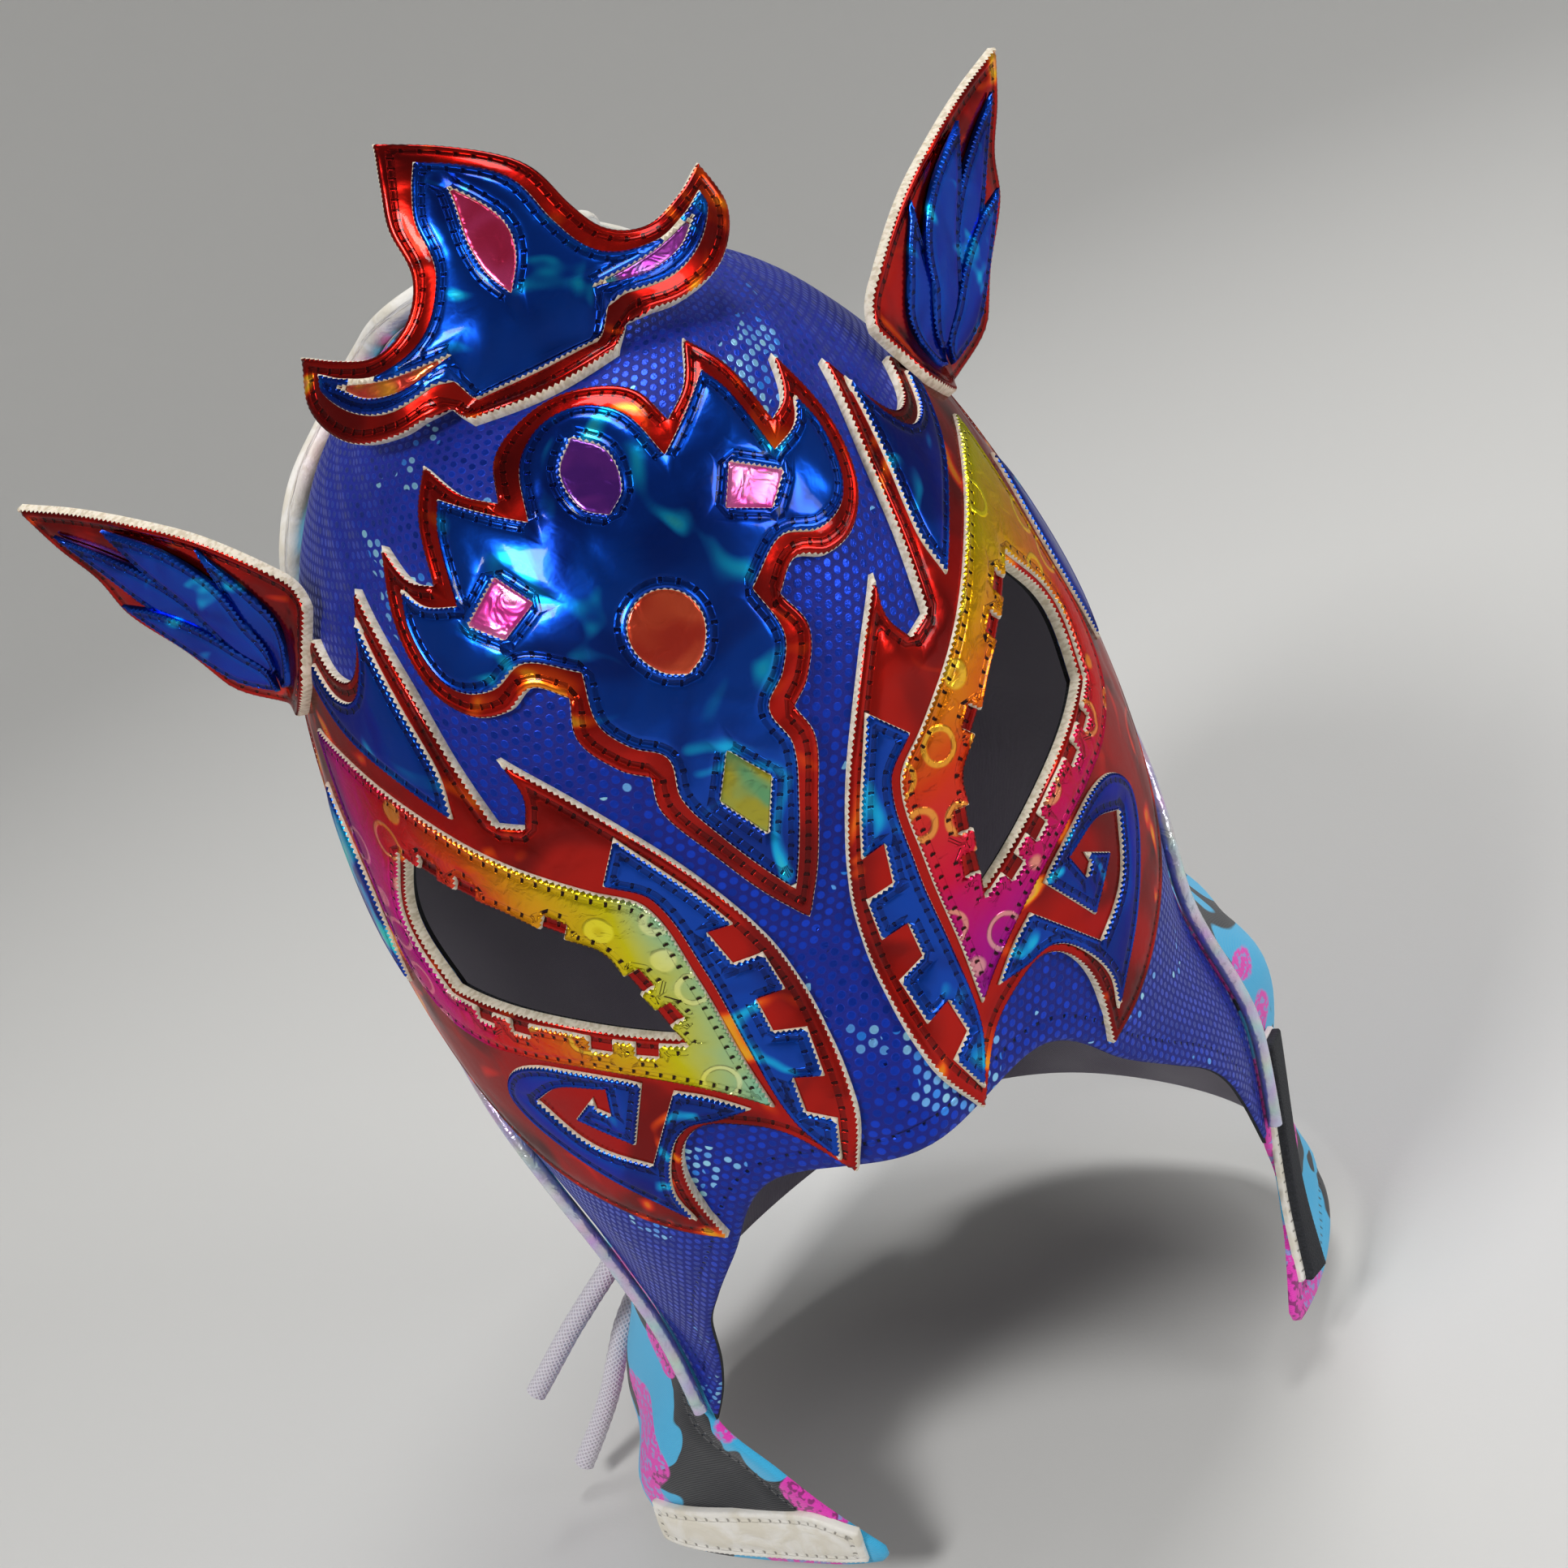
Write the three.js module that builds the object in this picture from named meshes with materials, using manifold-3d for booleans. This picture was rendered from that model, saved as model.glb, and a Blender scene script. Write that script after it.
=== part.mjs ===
// Wrestling mask of stretch cloth with foil-covered appliques, as it sits on a head.
// Millimetres, +Z up, the face looks along -Y. The origin is where the inside of the crown rests on the head.
import * as THREE from 'three';
import Module from 'manifold-3d';
import { mergeVertices } from 'three/addons/utils/BufferGeometryUtils.js';

const wasm = await Module();
wasm.setup();

// Head sizes that the hood follows, measured at its inner face.
const HEAD_HALF_WIDTH = 78.5;
const HEAD_FRONT = 98.5;
const HEAD_BACK = 98.5;
const FACE_HEIGHT = 228;

// Bump over the nose, and the loose left corner of the neck.
const NOSE_OUT = 14;
const NOSE_WIDTH = 17;
const NECK_FLARE = 22;
const FLARE_FRONT_SHARE = 0.3;

// Bulge of the cloth behind the right seam, low on the neck: at the seam and added behind it.
const BULGE_AT_SEAM = 8;
const BULGE_BEHIND = 10;

// Layers, counted outwards from the inner face of the hood.
const HOOD_WALL = 1.5;
const LAYER_GAP = 0.55;
const FOAM_THICKNESS = 2.2;
const FOIL_THICKNESS = 1.2;
const WINDOW_THICKNESS = 0.6;
const SEAM_GAP = 0.6;
const INLAY_GAP = 0.4;

// Round pieces.
const PIPING_DIAMETER = 3.4;
const ROLL_DIAMETER = 5.5;
const LACE_DIAMETER = 5.5;
const CORD_CLEARANCE = 0.4;
const LACE_CLEARANCE = 0.96;

// Back lacing.
const SLIT_TOP = 62;
const SLIT_HALF_WIDTH = 8;
const LACE_FIRST_ROW = 112;
const LACE_ROW_PITCH = 32;
const LACE_ROWS = 5;
const LOOP_SIDE = 15;
const LOOP_LENGTH = 5.8;
const LACE_STRAIGHT = 6.8;
const LOOP_WALL = 1.4;
const FACING_WIDTH = 17;
const FACING_THICKNESS = 1;
const TONGUE_HALF_WIDTH = 24;
const TONGUE_THICKNESS = 1.2;

// Crest and horns.
const CREST_FOOT = 64;
const CREST_SEAT = 14;
const CREST_BEND = 14;
const CREST_BACK_LEAN = 33;
const CREST_SIDE_LEAN = 0.1;
const CREST_TIP_TURN = 0.0155;
const CREST_TURN_FROM = 26;
const CREST_CURL = 0.009;
const CREST_DROOP = 0.0033;
const HORN_AROUND = 95;
const HORN_DOWN = 105;
const HORN_SLANT = 0.45;
const HORN_RISE_FROM = -8;
const HORN_RISE_OVER = 18;
const HORN_STAND_OUT = { left: 1, right: 4 };
const HORN_SHIFT = 3;
const HORN_CLEARANCE = 2;
const HORN_RISE = { left: new THREE.Vector3(0.5, 0.26, 0.83), right: new THREE.Vector3(0.56, 0.26, 0.78) };
const HORN_ACROSS = new THREE.Vector3(0.62, 0.65, -0.45);

// Neck edge, hook tape and neck band.
const NECK_EDGE = 350;
const NECK_BACK_EDGE = 330;
const TAPE_WIDTH = 6;
const TAPE_BACKING_WIDTH = 9;
const TAPE_THICKNESS = 1.4;
const TAPE_BACKING_THICKNESS = 0.8;
const BAND_THICKNESS = 1.4;

// How far a flat facet may lie under or over the curved surface that it follows.
const FACET_RISE = 0.22;
const FACET_SINK = 0.3;
const HOOD_SINK = 0.9;
const LONGEST_FACET = 28;

// Cross sections of the head from the crown down. Lengths are shares of the head sizes above,
// square is the exponent of the oval and seam the angle of the side seam from the face, in degrees.
const SECTION_COLUMNS = ['drop', 'side', 'front', 'back', 'square', 'seam'];
const SECTIONS = [
  [0.00, 0.00, 0.00, 0.00, 2.00, 96],
  [0.01, 0.23, 0.26, 0.26, 2.00, 96],
  [0.04, 0.44, 0.50, 0.50, 2.00, 96],
  [0.09, 0.63, 0.71, 0.71, 2.05, 96],
  [0.16, 0.78, 0.85, 0.86, 2.10, 96],
  [0.25, 0.89, 0.94, 0.96, 2.15, 96],
  [0.35, 0.96, 0.98, 1.02, 2.20, 95],
  [0.45, 1.00, 0.985, 1.03, 2.25, 94],
  [0.55, 1.01, 0.96, 1.00, 2.30, 90],
  [0.65, 1.00, 0.95, 0.90, 2.30, 82],
  [0.75, 0.97, 0.93, 0.80, 2.25, 73],
  [0.87, 0.94, 0.89, 0.74, 2.20, 69],
  [1.00, 0.93, 0.78, 0.72, 2.20, 64],
  [1.13, 0.95, 0.70, 0.74, 2.20, 58],
  [1.26, 1.00, 0.68, 0.78, 2.20, 54],
  [1.33, 1.01, 0.68, 0.79, 2.20, 52],
].map((row) => Object.fromEntries(SECTION_COLUMNS.map((name, k) => [name, row[k]])));

// Where the nose bump and the neck flare begin, peak and end, as shares of the face height.
const NOSE_TOP = 0.46;
const NOSE_PEAK = 0.667;
const NOSE_END = 0.772;
const FLARE_TOP = 0.9;
const FLARE_END = 1.23;
const BULGE_TOP = 0.76;
const BULGE_FULL = 0.95;
const BULGE_LOW_SHARE = 0.4;
const BULGE_LOW_OVER = 0.25;

function ease(x) {
  const t = THREE.MathUtils.clamp(x, 0, 1);
  return t * t * (3 - 2 * t);
}

// Smooth curve through one column of the section table that never overshoots its rows.
function column(name) {
  const y = SECTIONS.map((row) => row[name]);
  const rise = y.slice(1).map((v, i) => v - y[i]);
  const slope = y.map((_, i) => {
    if (i === 0 || i === y.length - 1) {
      const near = i === 0 ? rise[0] : rise[rise.length - 1];
      const next = i === 0 ? rise[1] : rise[rise.length - 2];
      const end = (3 * near - next) / 2;
      if (end * near <= 0) return 0;
      return near * next < 0 && Math.abs(end) > 3 * Math.abs(near) ? 3 * near : end;
    }
    const [a, b] = [rise[i - 1], rise[i]];
    return a * b > 0 ? (2 * a * b) / (a + b) : 0;
  });
  return (t) => {
    const i = Math.min(Math.floor(t), y.length - 2);
    const u = t - i;
    const bend = slope[i] + slope[i + 1] - 2 * rise[i];
    return y[i] + u * (slope[i] + u * (3 * rise[i] - 2 * slope[i] - slope[i + 1] + u * bend));
  };
}

const section = Object.fromEntries(SECTION_COLUMNS.map((name) => [name, column(name)]));

// Point of the bare oval head at row t of the table and an angle from the face.
function oval(t, angle) {
  const e = 2 / section.square(t);
  const [c, s] = [Math.cos(angle), Math.sin(angle)];
  const depth = c > 0 ? -HEAD_FRONT * section.front(t) : HEAD_BACK * section.back(t);
  return new THREE.Vector3(
    HEAD_HALF_WIDTH * section.side(t) * Math.sign(s) * Math.abs(s) ** e,
    depth * Math.abs(c) ** e,
    -FACE_HEIGHT * section.drop(t),
  );
}

// The same point with the nose and the neck flare.
function head(t, angle) {
  const p = oval(t, angle);
  const drop = section.drop(t);
  const nose = ease((drop - NOSE_TOP) / (NOSE_PEAK - NOSE_TOP)) * ease((NOSE_END - drop) / (NOSE_END - NOSE_PEAK));
  if (Math.cos(angle) > 0) p.y -= NOSE_OUT * nose * Math.exp(-((p.x / NOSE_WIDTH) ** 2));
  const flare = NECK_FLARE * THREE.MathUtils.lerp(FLARE_FRONT_SHARE, 1, ease((p.y + 50) / 35));
  p.x -= flare * ease((drop - FLARE_TOP) / (FLARE_END - FLARE_TOP)) * ease(-p.x / HEAD_HALF_WIDTH);
  const bulge = BULGE_AT_SEAM + BULGE_BEHIND * ease((p.y + 40) / 35);
  const reach = ease((drop - BULGE_TOP) / (BULGE_FULL - BULGE_TOP)) * ease((60 - p.y) / 45);
  const fade = 1 - (1 - BULGE_LOW_SHARE) * ease((drop - BULGE_FULL) / BULGE_LOW_OVER);
  p.x += bulge * reach * fade * ease(p.x / HEAD_HALF_WIDTH);
  return p;
}

// Lengths along the head, which turn flat pattern sizes into places on it.
const LEVELS = (SECTIONS.length - 1) * 12;
const TURNS = 90;
const levels = [];
let down = 0;
for (let i = 0; i <= LEVELS; i += 1) {
  const t = (i / LEVELS) * (SECTIONS.length - 1);
  const around = [0];
  let last = oval(t, 0);
  if (i > 0) down += last.distanceTo(oval(levels[i - 1].t, 0));
  for (let j = 1; j <= TURNS; j += 1) {
    const next = oval(t, (Math.PI * j) / TURNS);
    around.push(around[j - 1] + next.distanceTo(last));
    last = next;
  }
  levels.push({ t, down, around });
}

// Index and fraction of a value in a rising list.
function place(list, value) {
  let low = 0;
  let high = list.length - 1;
  while (high - low > 1) {
    const middle = (low + high) >> 1;
    if (list[middle] <= value) low = middle;
    else high = middle;
  }
  const span = list[high] - list[low];
  return { index: low, share: span > 0 ? THREE.MathUtils.clamp((value - list[low]) / span, 0, 1) : 0 };
}

const downs = levels.map((level) => level.down);

function rowAt(m) {
  const { index, share } = place(downs, m);
  return THREE.MathUtils.lerp(levels[index].t, levels[index + 1].t, share);
}

// Half the way around the head, m below the crown down the middle of the face.
function halfRound(m) {
  const { index, share } = place(downs, m);
  return THREE.MathUtils.lerp(levels[index].around[TURNS], levels[index + 1].around[TURNS], share);
}

// Place on the head of a flat pattern point: a is measured around from the middle of the face,
// positive to the right, and m down the middle of the face from the crown.
function pattern(a, m) {
  const { index, share } = place(downs, m);
  const part = Math.abs(a) / Math.max(halfRound(m), 1e-6);
  const angles = [levels[index], levels[index + 1]].map(({ around }) => {
    const at = place(around, part * around[TURNS]);
    return ((at.index + at.share) * Math.PI) / TURNS;
  });
  const angle = THREE.MathUtils.lerp(angles[0], angles[1], share);
  return head(rowAt(m), a < 0 ? -angle : angle);
}

// The same from the middle of the back, b positive to the left side of the face.
function backPattern(b, m) {
  const reach = halfRound(m) - Math.abs(b);
  return pattern(b > 0 ? -reach : reach, m);
}

// How far around the side seam lies.
function seam(m) {
  const t = rowAt(m);
  const { index, share } = place(downs, m);
  const steps = (section.seam(t) / 180) * TURNS;
  const i = Math.floor(steps);
  const along = levels.slice(index, index + 2).map(({ around }) => (
    THREE.MathUtils.lerp(around[i], around[i + 1], steps - i)
  ));
  return THREE.MathUtils.lerp(along[0], along[1], share);
}

// Outward normal of a mapped sheet.
function normalAt(surface, u, v) {
  const step = 0.4;
  const across = surface(u + step, v).sub(surface(u - step, v));
  const along = surface(u, v + step).sub(surface(u, v - step));
  const normal = along.cross(across);
  return normal.lengthSq() < 1e-6 ? new THREE.Vector3(0, 0, 1) : normal.normalize();
}

const edgeKey = (a, b) => (a < b ? `${a},${b}` : `${b},${a}`);

// Splits the faces of a flat pattern until their edges follow the surface.
function refine(points, faces, surface, height, sink, rise) {
  const onSurface = (u, v) => surface(u, v).addScaledVector(normalAt(surface, u, v), height);
  const places = points.map(([u, v]) => onSurface(u, v));
  let current = faces;
  for (let round = 0; round < 9; round += 1) {
    const middles = new Map();
    for (const face of current) {
      for (let k = 0; k < 3; k += 1) {
        const [a, b] = [face[k], face[(k + 1) % 3]];
        const key = edgeKey(a, b);
        if (middles.has(key)) continue;
        const flat = [(points[a][0] + points[b][0]) / 2, (points[a][1] + points[b][1]) / 2];
        const curved = onSurface(flat[0], flat[1]);
        const off = curved.clone().sub(places[a].clone().lerp(places[b], 0.5));
        const bulge = off.dot(normalAt(surface, flat[0], flat[1]));
        const long = places[a].distanceTo(places[b]) > LONGEST_FACET;
        if (bulge > sink || bulge < -rise || long) {
          points.push(flat);
          places.push(curved);
          middles.set(key, points.length - 1);
        } else {
          middles.set(key, -1);
        }
      }
    }
    const next = [];
    for (const face of current) {
      const mid = face.map((a, k) => middles.get(edgeKey(a, face[(k + 1) % 3])));
      const cuts = mid.filter((m) => m >= 0).length;
      if (cuts === 0) {
        next.push(face);
      } else if (cuts === 3) {
        next.push([face[0], mid[0], mid[2]], [face[1], mid[1], mid[0]], [face[2], mid[2], mid[1]], mid);
      } else {
        const k = cuts === 1 ? mid.findIndex((m) => m >= 0) : mid.findIndex((m) => m < 0);
        const [a, b, c] = [face[k], face[(k + 1) % 3], face[(k + 2) % 3]];
        if (cuts === 1) {
          next.push([a, mid[k], c], [mid[k], b, c]);
        } else {
          const [right, left] = [mid[(k + 1) % 3], mid[(k + 2) % 3]];
          next.push([a, b, right], [a, right, left], [left, right, c]);
        }
      }
    }
    const done = next.length === current.length;
    current = relax(points, next);
    if (done) break;
  }
  return current;
}

// Swaps diagonals so that the faces of a flat pattern are as even as they can be.
function relax(points, faces) {
  const angle = (p, a, b) => {
    const [ux, uy, vx, vy] = [a[0] - p[0], a[1] - p[1], b[0] - p[0], b[1] - p[1]];
    return Math.atan2(Math.abs(ux * vy - uy * vx), ux * vx + uy * vy);
  };
  const area = (a, b, c) => (b[0] - a[0]) * (c[1] - a[1]) - (b[1] - a[1]) * (c[0] - a[0]);
  for (let round = 0; round < 12; round += 1) {
    const owners = new Map();
    faces.forEach((face, f) => face.forEach((a, k) => {
      const key = edgeKey(a, face[(k + 1) % 3]);
      owners.set(key, [...(owners.get(key) ?? []), [f, k]]);
    }));
    const touched = new Set();
    let swaps = 0;
    for (const pair of owners.values()) {
      if (pair.length !== 2 || touched.has(pair[0][0]) || touched.has(pair[1][0])) continue;
      const [f, k] = pair[0];
      const [g, l] = pair[1];
      const [a, b, c] = [faces[f][k], faces[f][(k + 1) % 3], faces[f][(k + 2) % 3]];
      const d = faces[g][(l + 2) % 3];
      const [A, B, C, D] = [a, b, c, d].map((i) => points[i]);
      if (angle(C, A, B) + angle(D, A, B) <= Math.PI + 1e-6) continue;
      if (area(A, D, C) <= 1e-6 || area(D, B, C) <= 1e-6) continue;
      faces[f] = [a, d, c];
      faces[g] = [d, b, c];
      touched.add(f);
      touched.add(g);
      swaps += 1;
    }
    if (!swaps) break;
  }
  return faces;
}

// Closed sheet over a flat outline with holes, between two heights above a mapped surface.
function sheet(outline, holes, surface, low, high, sink = FACET_SINK, rise = FACET_RISE) {
  const toVectors = (list) => list.map(([u, v]) => new THREE.Vector2(u, v));
  const ring = toVectors(outline);
  if (THREE.ShapeUtils.isClockWise(ring)) ring.reverse();
  const cuts = holes.map((hole) => {
    const list = toVectors(hole);
    if (!THREE.ShapeUtils.isClockWise(list)) list.reverse();
    return list;
  });
  const points = [ring, ...cuts].flat().map((p) => [p.x, p.y]);
  const first = relax(points, THREE.ShapeUtils.triangulateShape(ring, cuts));
  const faces = refine(points, first, surface, high, sink, rise);
  const edges = new Map();
  faces.forEach((face) => face.forEach((a, k) => edges.set(`${a},${face[(k + 1) % 3]}`, [a, face[(k + 1) % 3]])));
  const count = points.length;
  const index = [];
  for (const [a, b, c] of faces) index.push(a, c, b, a + count, b + count, c + count);
  for (const [a, b] of edges.values()) {
    if (!edges.has(`${b},${a}`)) index.push(a, b, a + count, b, b + count, a + count);
  }
  const spots = [high, low].flatMap((offset) => points.map(([u, v]) => (
    surface(u, v).addScaledVector(normalAt(surface, u, v), offset)
  )));
  return solid(spots.flatMap((p) => p.toArray()), index);
}

// Geometry from places and faces, turned so that the faces point out.
function solid(position, index) {
  const at = (i) => new THREE.Vector3().fromArray(position, 3 * i);
  let volume = 0;
  for (let i = 0; i < index.length; i += 3) {
    volume += at(index[i]).dot(at(index[i + 1]).cross(at(index[i + 2])));
  }
  if (volume < 0) index.reverse();
  const geometry = new THREE.BufferGeometry();
  geometry.setAttribute('position', new THREE.Float32BufferAttribute(position, 3));
  geometry.setIndex(index);
  return geometry;
}

// Tube of many sides along a curve.
function tube(points, diameter, steps, sides) {
  const path = new THREE.CatmullRomCurve3(points, false, 'centripetal');
  const section = new THREE.Shape();
  section.absarc(0, 0, diameter / 2, 0, 2 * Math.PI);
  const outline = new THREE.Shape(section.getSpacedPoints(sides).slice(0, sides));
  return new THREE.ExtrudeGeometry(outline, { steps, extrudePath: path, curveSegments: 1 });
}

function manifoldOf(geometry) {
  const bare = geometry.clone();
  bare.deleteAttribute('normal');
  bare.deleteAttribute('uv');
  const merged = mergeVertices(bare, 1e-4);
  return new wasm.Manifold(new wasm.Mesh({
    numProp: 3,
    vertProperties: new Float32Array(merged.attributes.position.array),
    triVerts: new Uint32Array(merged.index.array),
  }));
}

function geometryOf(body) {
  const { vertProperties, triVerts, numProp } = body.getMesh();
  const geometry = new THREE.BufferGeometry();
  const position = [];
  for (let i = 0; i < vertProperties.length; i += numProp) position.push(...vertProperties.slice(i, i + 3));
  geometry.setAttribute('position', new THREE.Float32BufferAttribute(position, 3));
  geometry.setIndex([...triVerts]);
  return geometry;
}

const mask = new THREE.Group();

const MATERIALS = {
  royal_cloth: { color: 0x1d3fb4, roughness: 0.45, metalness: 0.2 },
  print_cloth: { color: 0x58c6f2, roughness: 0.8, metalness: 0 },
  red_foil: { color: 0xb02018, roughness: 0.15, metalness: 0.85 },
  blue_foil: { color: 0x1450b4, roughness: 0.12, metalness: 0.85 },
  rainbow_foil: { color: 0xd98f3a, roughness: 0.12, metalness: 0.85 },
  silver_foil: { color: 0xc8cbd8, roughness: 0.15, metalness: 0.85 },
  window_foil: { color: 0xc23a8c, roughness: 0.12, metalness: 0.85 },
  cream_vinyl: { color: 0xe9e2d2, roughness: 0.5, metalness: 0 },
  white_cord: { color: 0xe4e0e6, roughness: 0.9, metalness: 0 },
  black_tape: { color: 0x141518, roughness: 0.95, metalness: 0 },
};

function add(name, geometry, material) {
  const mesh = new THREE.Mesh(geometry, new THREE.MeshStandardMaterial(MATERIALS[material]));
  mesh.name = name;
  mask.add(mesh);
}

const mirror = (points) => points.map(([a, m]) => [-a, m]);
const bothHalves = (half) => [...half, ...mirror(half.slice(1, -1)).reverse()];
const SIDES = [['left', mirror], ['right', (points) => points]];

// Heights of the layers above the inner face.
const BASE_LOW = HOOD_WALL + LAYER_GAP;
const BASE_HIGH = BASE_LOW + FOAM_THICKNESS;
const TOP_LOW = BASE_HIGH + LAYER_GAP;
const TOP_HIGH = TOP_LOW + FOIL_THICKNESS;

// Eye opening of the right half, in pattern millimetres.
const EYE = [[69.5, 137.5], [49, 149], [35, 160], [29.5, 181.5], [50, 173], [75, 166], [79, 152]];

// Grows or shrinks an outline by moving each side along its normal.
function offset(outline, distance) {
  const ring = outline.map(([u, v]) => new THREE.Vector2(u, v));
  const turn = THREE.ShapeUtils.isClockWise(ring) ? -1 : 1;
  return ring.map((p, i) => {
    const before = p.clone().sub(ring[(i + ring.length - 1) % ring.length]).normalize();
    const after = ring[(i + 1) % ring.length].clone().sub(p).normalize();
    const [n, k] = [before, after].map((d) => new THREE.Vector2(d.y, -d.x).multiplyScalar(turn));
    const bisector = n.clone().add(k);
    return p.clone().addScaledVector(bisector, (2 * distance) / bisector.lengthSq()).toArray();
  });
}

// Front of the hood: a wedge from the crown to the upper lip, with a long point down each jaw.
const JAW_POINT = 308;
const SEAM_STITCH = 14;
const CROWN_POINT = 2;
const SEAM_LEVELS = Array.from({ length: 21 }, (_, i) => 14 + i * SEAM_STITCH);
const LIP_EDGE = [[0, 216], [15, 217.5], [31, 220.5], [45, 238], [57, 253], [65, 265], [70, 284]];

function hoodFront() {
  const half = [[0, CROWN_POINT / 4]];
  for (const m of [CROWN_POINT, ...SEAM_LEVELS, JAW_POINT]) half.push([seam(m) - SEAM_GAP / 2, m]);
  half.push(...[...LIP_EDGE].reverse());
  const eyes = SIDES.map(([, turn]) => turn(offset(EYE, 1)));
  return sheet(bothHalves(half), eyes, pattern, 0, HOOD_WALL, HOOD_SINK);
}

// One back half, from the side seam to the laced slit, with the neck corner under the jaw.
function hoodBack(turn, corner) {
  const ring = [];
  for (const m of [CROWN_POINT, ...SEAM_LEVELS, JAW_POINT]) ring.push([seam(m) + SEAM_GAP / 2, m]);
  ring.push([corner + 18, JAW_POINT + 14], [corner, NECK_EDGE - 4], [corner + 2, NECK_EDGE]);
  ring.push([corner + 45, NECK_EDGE], [halfRound(NECK_BACK_EDGE) - 60, NECK_BACK_EDGE + 8]);
  const slit = [NECK_BACK_EDGE, 300, 270, 240, 210, 180, 150, 120, 90, SLIT_TOP + 10];
  for (const m of slit) ring.push([halfRound(m) - SLIT_HALF_WIDTH, m]);
  for (const m of [SLIT_TOP - 4, 40, 20, 8, CROWN_POINT]) ring.push([halfRound(m) - SEAM_GAP / 2, m]);
  return sheet(turn(ring), [], pattern, 0, HOOD_WALL, HOOD_SINK, FACET_SINK);
}

const LEFT_CORNER = 46;
const RIGHT_CORNER = 60;
add('hood_front', hoodFront(), 'royal_cloth');
add('hood_back_left', hoodBack(SIDES[0][1], LEFT_CORNER), 'print_cloth');
add('hood_back_right', hoodBack(SIDES[1][1], RIGHT_CORNER), 'print_cloth');

// Place above the head at a height from its inner face.
function above(a, m, height) {
  return pattern(a, m).addScaledVector(normalAt(pattern, a, m), height);
}

function aboveBack(b, m, height) {
  return backPattern(b, m).addScaledVector(normalAt(backPattern, b, m), height);
}

// Silver piping down each side seam, and the padded roll over the crown.
const PIPING_TOP = 128;
const PIPING_END = 303;
const ROLL_END = 104;
const ROLL_SET_BACK = { left: [0.33, 0.06], right: [0.55, 0.45] };
for (const [side, turn] of SIDES) {
  const route = [];
  for (let i = 0; i <= 12; i += 1) {
    const m = THREE.MathUtils.lerp(PIPING_TOP, PIPING_END, i / 12);
    const [[a]] = turn([[seam(m), m]]);
    route.push(above(a, m, HOOD_WALL + CORD_CLEARANCE + PIPING_DIAMETER / 2));
  }
  add(`piping_${side}`, tube(route, PIPING_DIAMETER, 20, 8), 'silver_foil');
}

const rollRoute = [];
for (let i = -10; i <= 10; i += 1) {
  const m = ROLL_END * (Math.abs(i) / 10) ** 1.1;
  const [middle, end] = ROLL_SET_BACK[i < 0 ? 'left' : 'right'];
  const setBack = THREE.MathUtils.lerp(middle, end, ease((m - 64) / 24)) * ease((m - 18) / 30);
  const a = Math.sign(i) * THREE.MathUtils.lerp(seam(m), halfRound(m), setBack);
  const lift = HOOD_WALL + CORD_CLEARANCE + ROLL_DIAMETER / 2;
  rollRoute.push(i === 0 ? new THREE.Vector3(0, 1, lift) : above(a, m, lift));
}
add('crown_roll', tube(rollRoute, ROLL_DIAMETER, 18, 8), 'cream_vinyl');

// Brow ornament: red base, blue top with five windows.
const BROW_BASE = [
  [0, 67], [7, 69], [13, 74], [15.5, 82], [21, 78], [26, 70], [31, 80], [33, 92], [38, 90], [42, 83],
  [45, 97], [43, 108], [37, 114], [30, 115], [24, 112.5], [19, 116], [21, 123], [17, 130], [13, 133],
  [14, 139], [10, 149], [5, 160], [0, 168],
];
const BROW_TOP = [
  [0, 71.5], [5, 73], [9.5, 78], [12, 87.5], [17, 84], [25, 78], [27.5, 84], [29.5, 96.5], [36, 95],
  [39.5, 91.5], [41, 98], [39.5, 106], [36, 110], [30, 111], [23, 108.5], [15, 113], [16.5, 121.5],
  [13.5, 127], [9, 131], [10, 138], [7, 147], [3, 156], [0, 161.5],
];
const BROW_WINDOWS = [
  ['brow_window_top', bothHalves([[0, 77], [4, 82], [3.5, 89], [0, 92]])],
  ['brow_window_middle', bothHalves([[0, 106], [4.6, 108.2], [6, 113], [3.5, 118], [0, 120]])],
  ['brow_window_low', bothHalves([[0, 134], [4.6, 141], [0, 150]])],
  ['brow_window_left', mirror([[17, 100], [21, 94], [29, 100], [24, 104]])],
  ['brow_window_right', [[17, 100], [21, 94], [29, 100], [24, 104]]],
];
add('brow_base', sheet(bothHalves(BROW_BASE), [], pattern, BASE_LOW, BASE_HIGH), 'red_foil');
const browHoles = BROW_WINDOWS.map(([, outline]) => outline);
add('brow_top', sheet(bothHalves(BROW_TOP), browHoles, pattern, TOP_LOW, TOP_HIGH), 'blue_foil');
for (const [name, outline] of BROW_WINDOWS) {
  const pane = offset(outline, -INLAY_GAP);
  add(name, sheet(pane, [], pattern, TOP_LOW, TOP_LOW + WINDOW_THICKNESS), 'window_foil');
}

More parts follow.
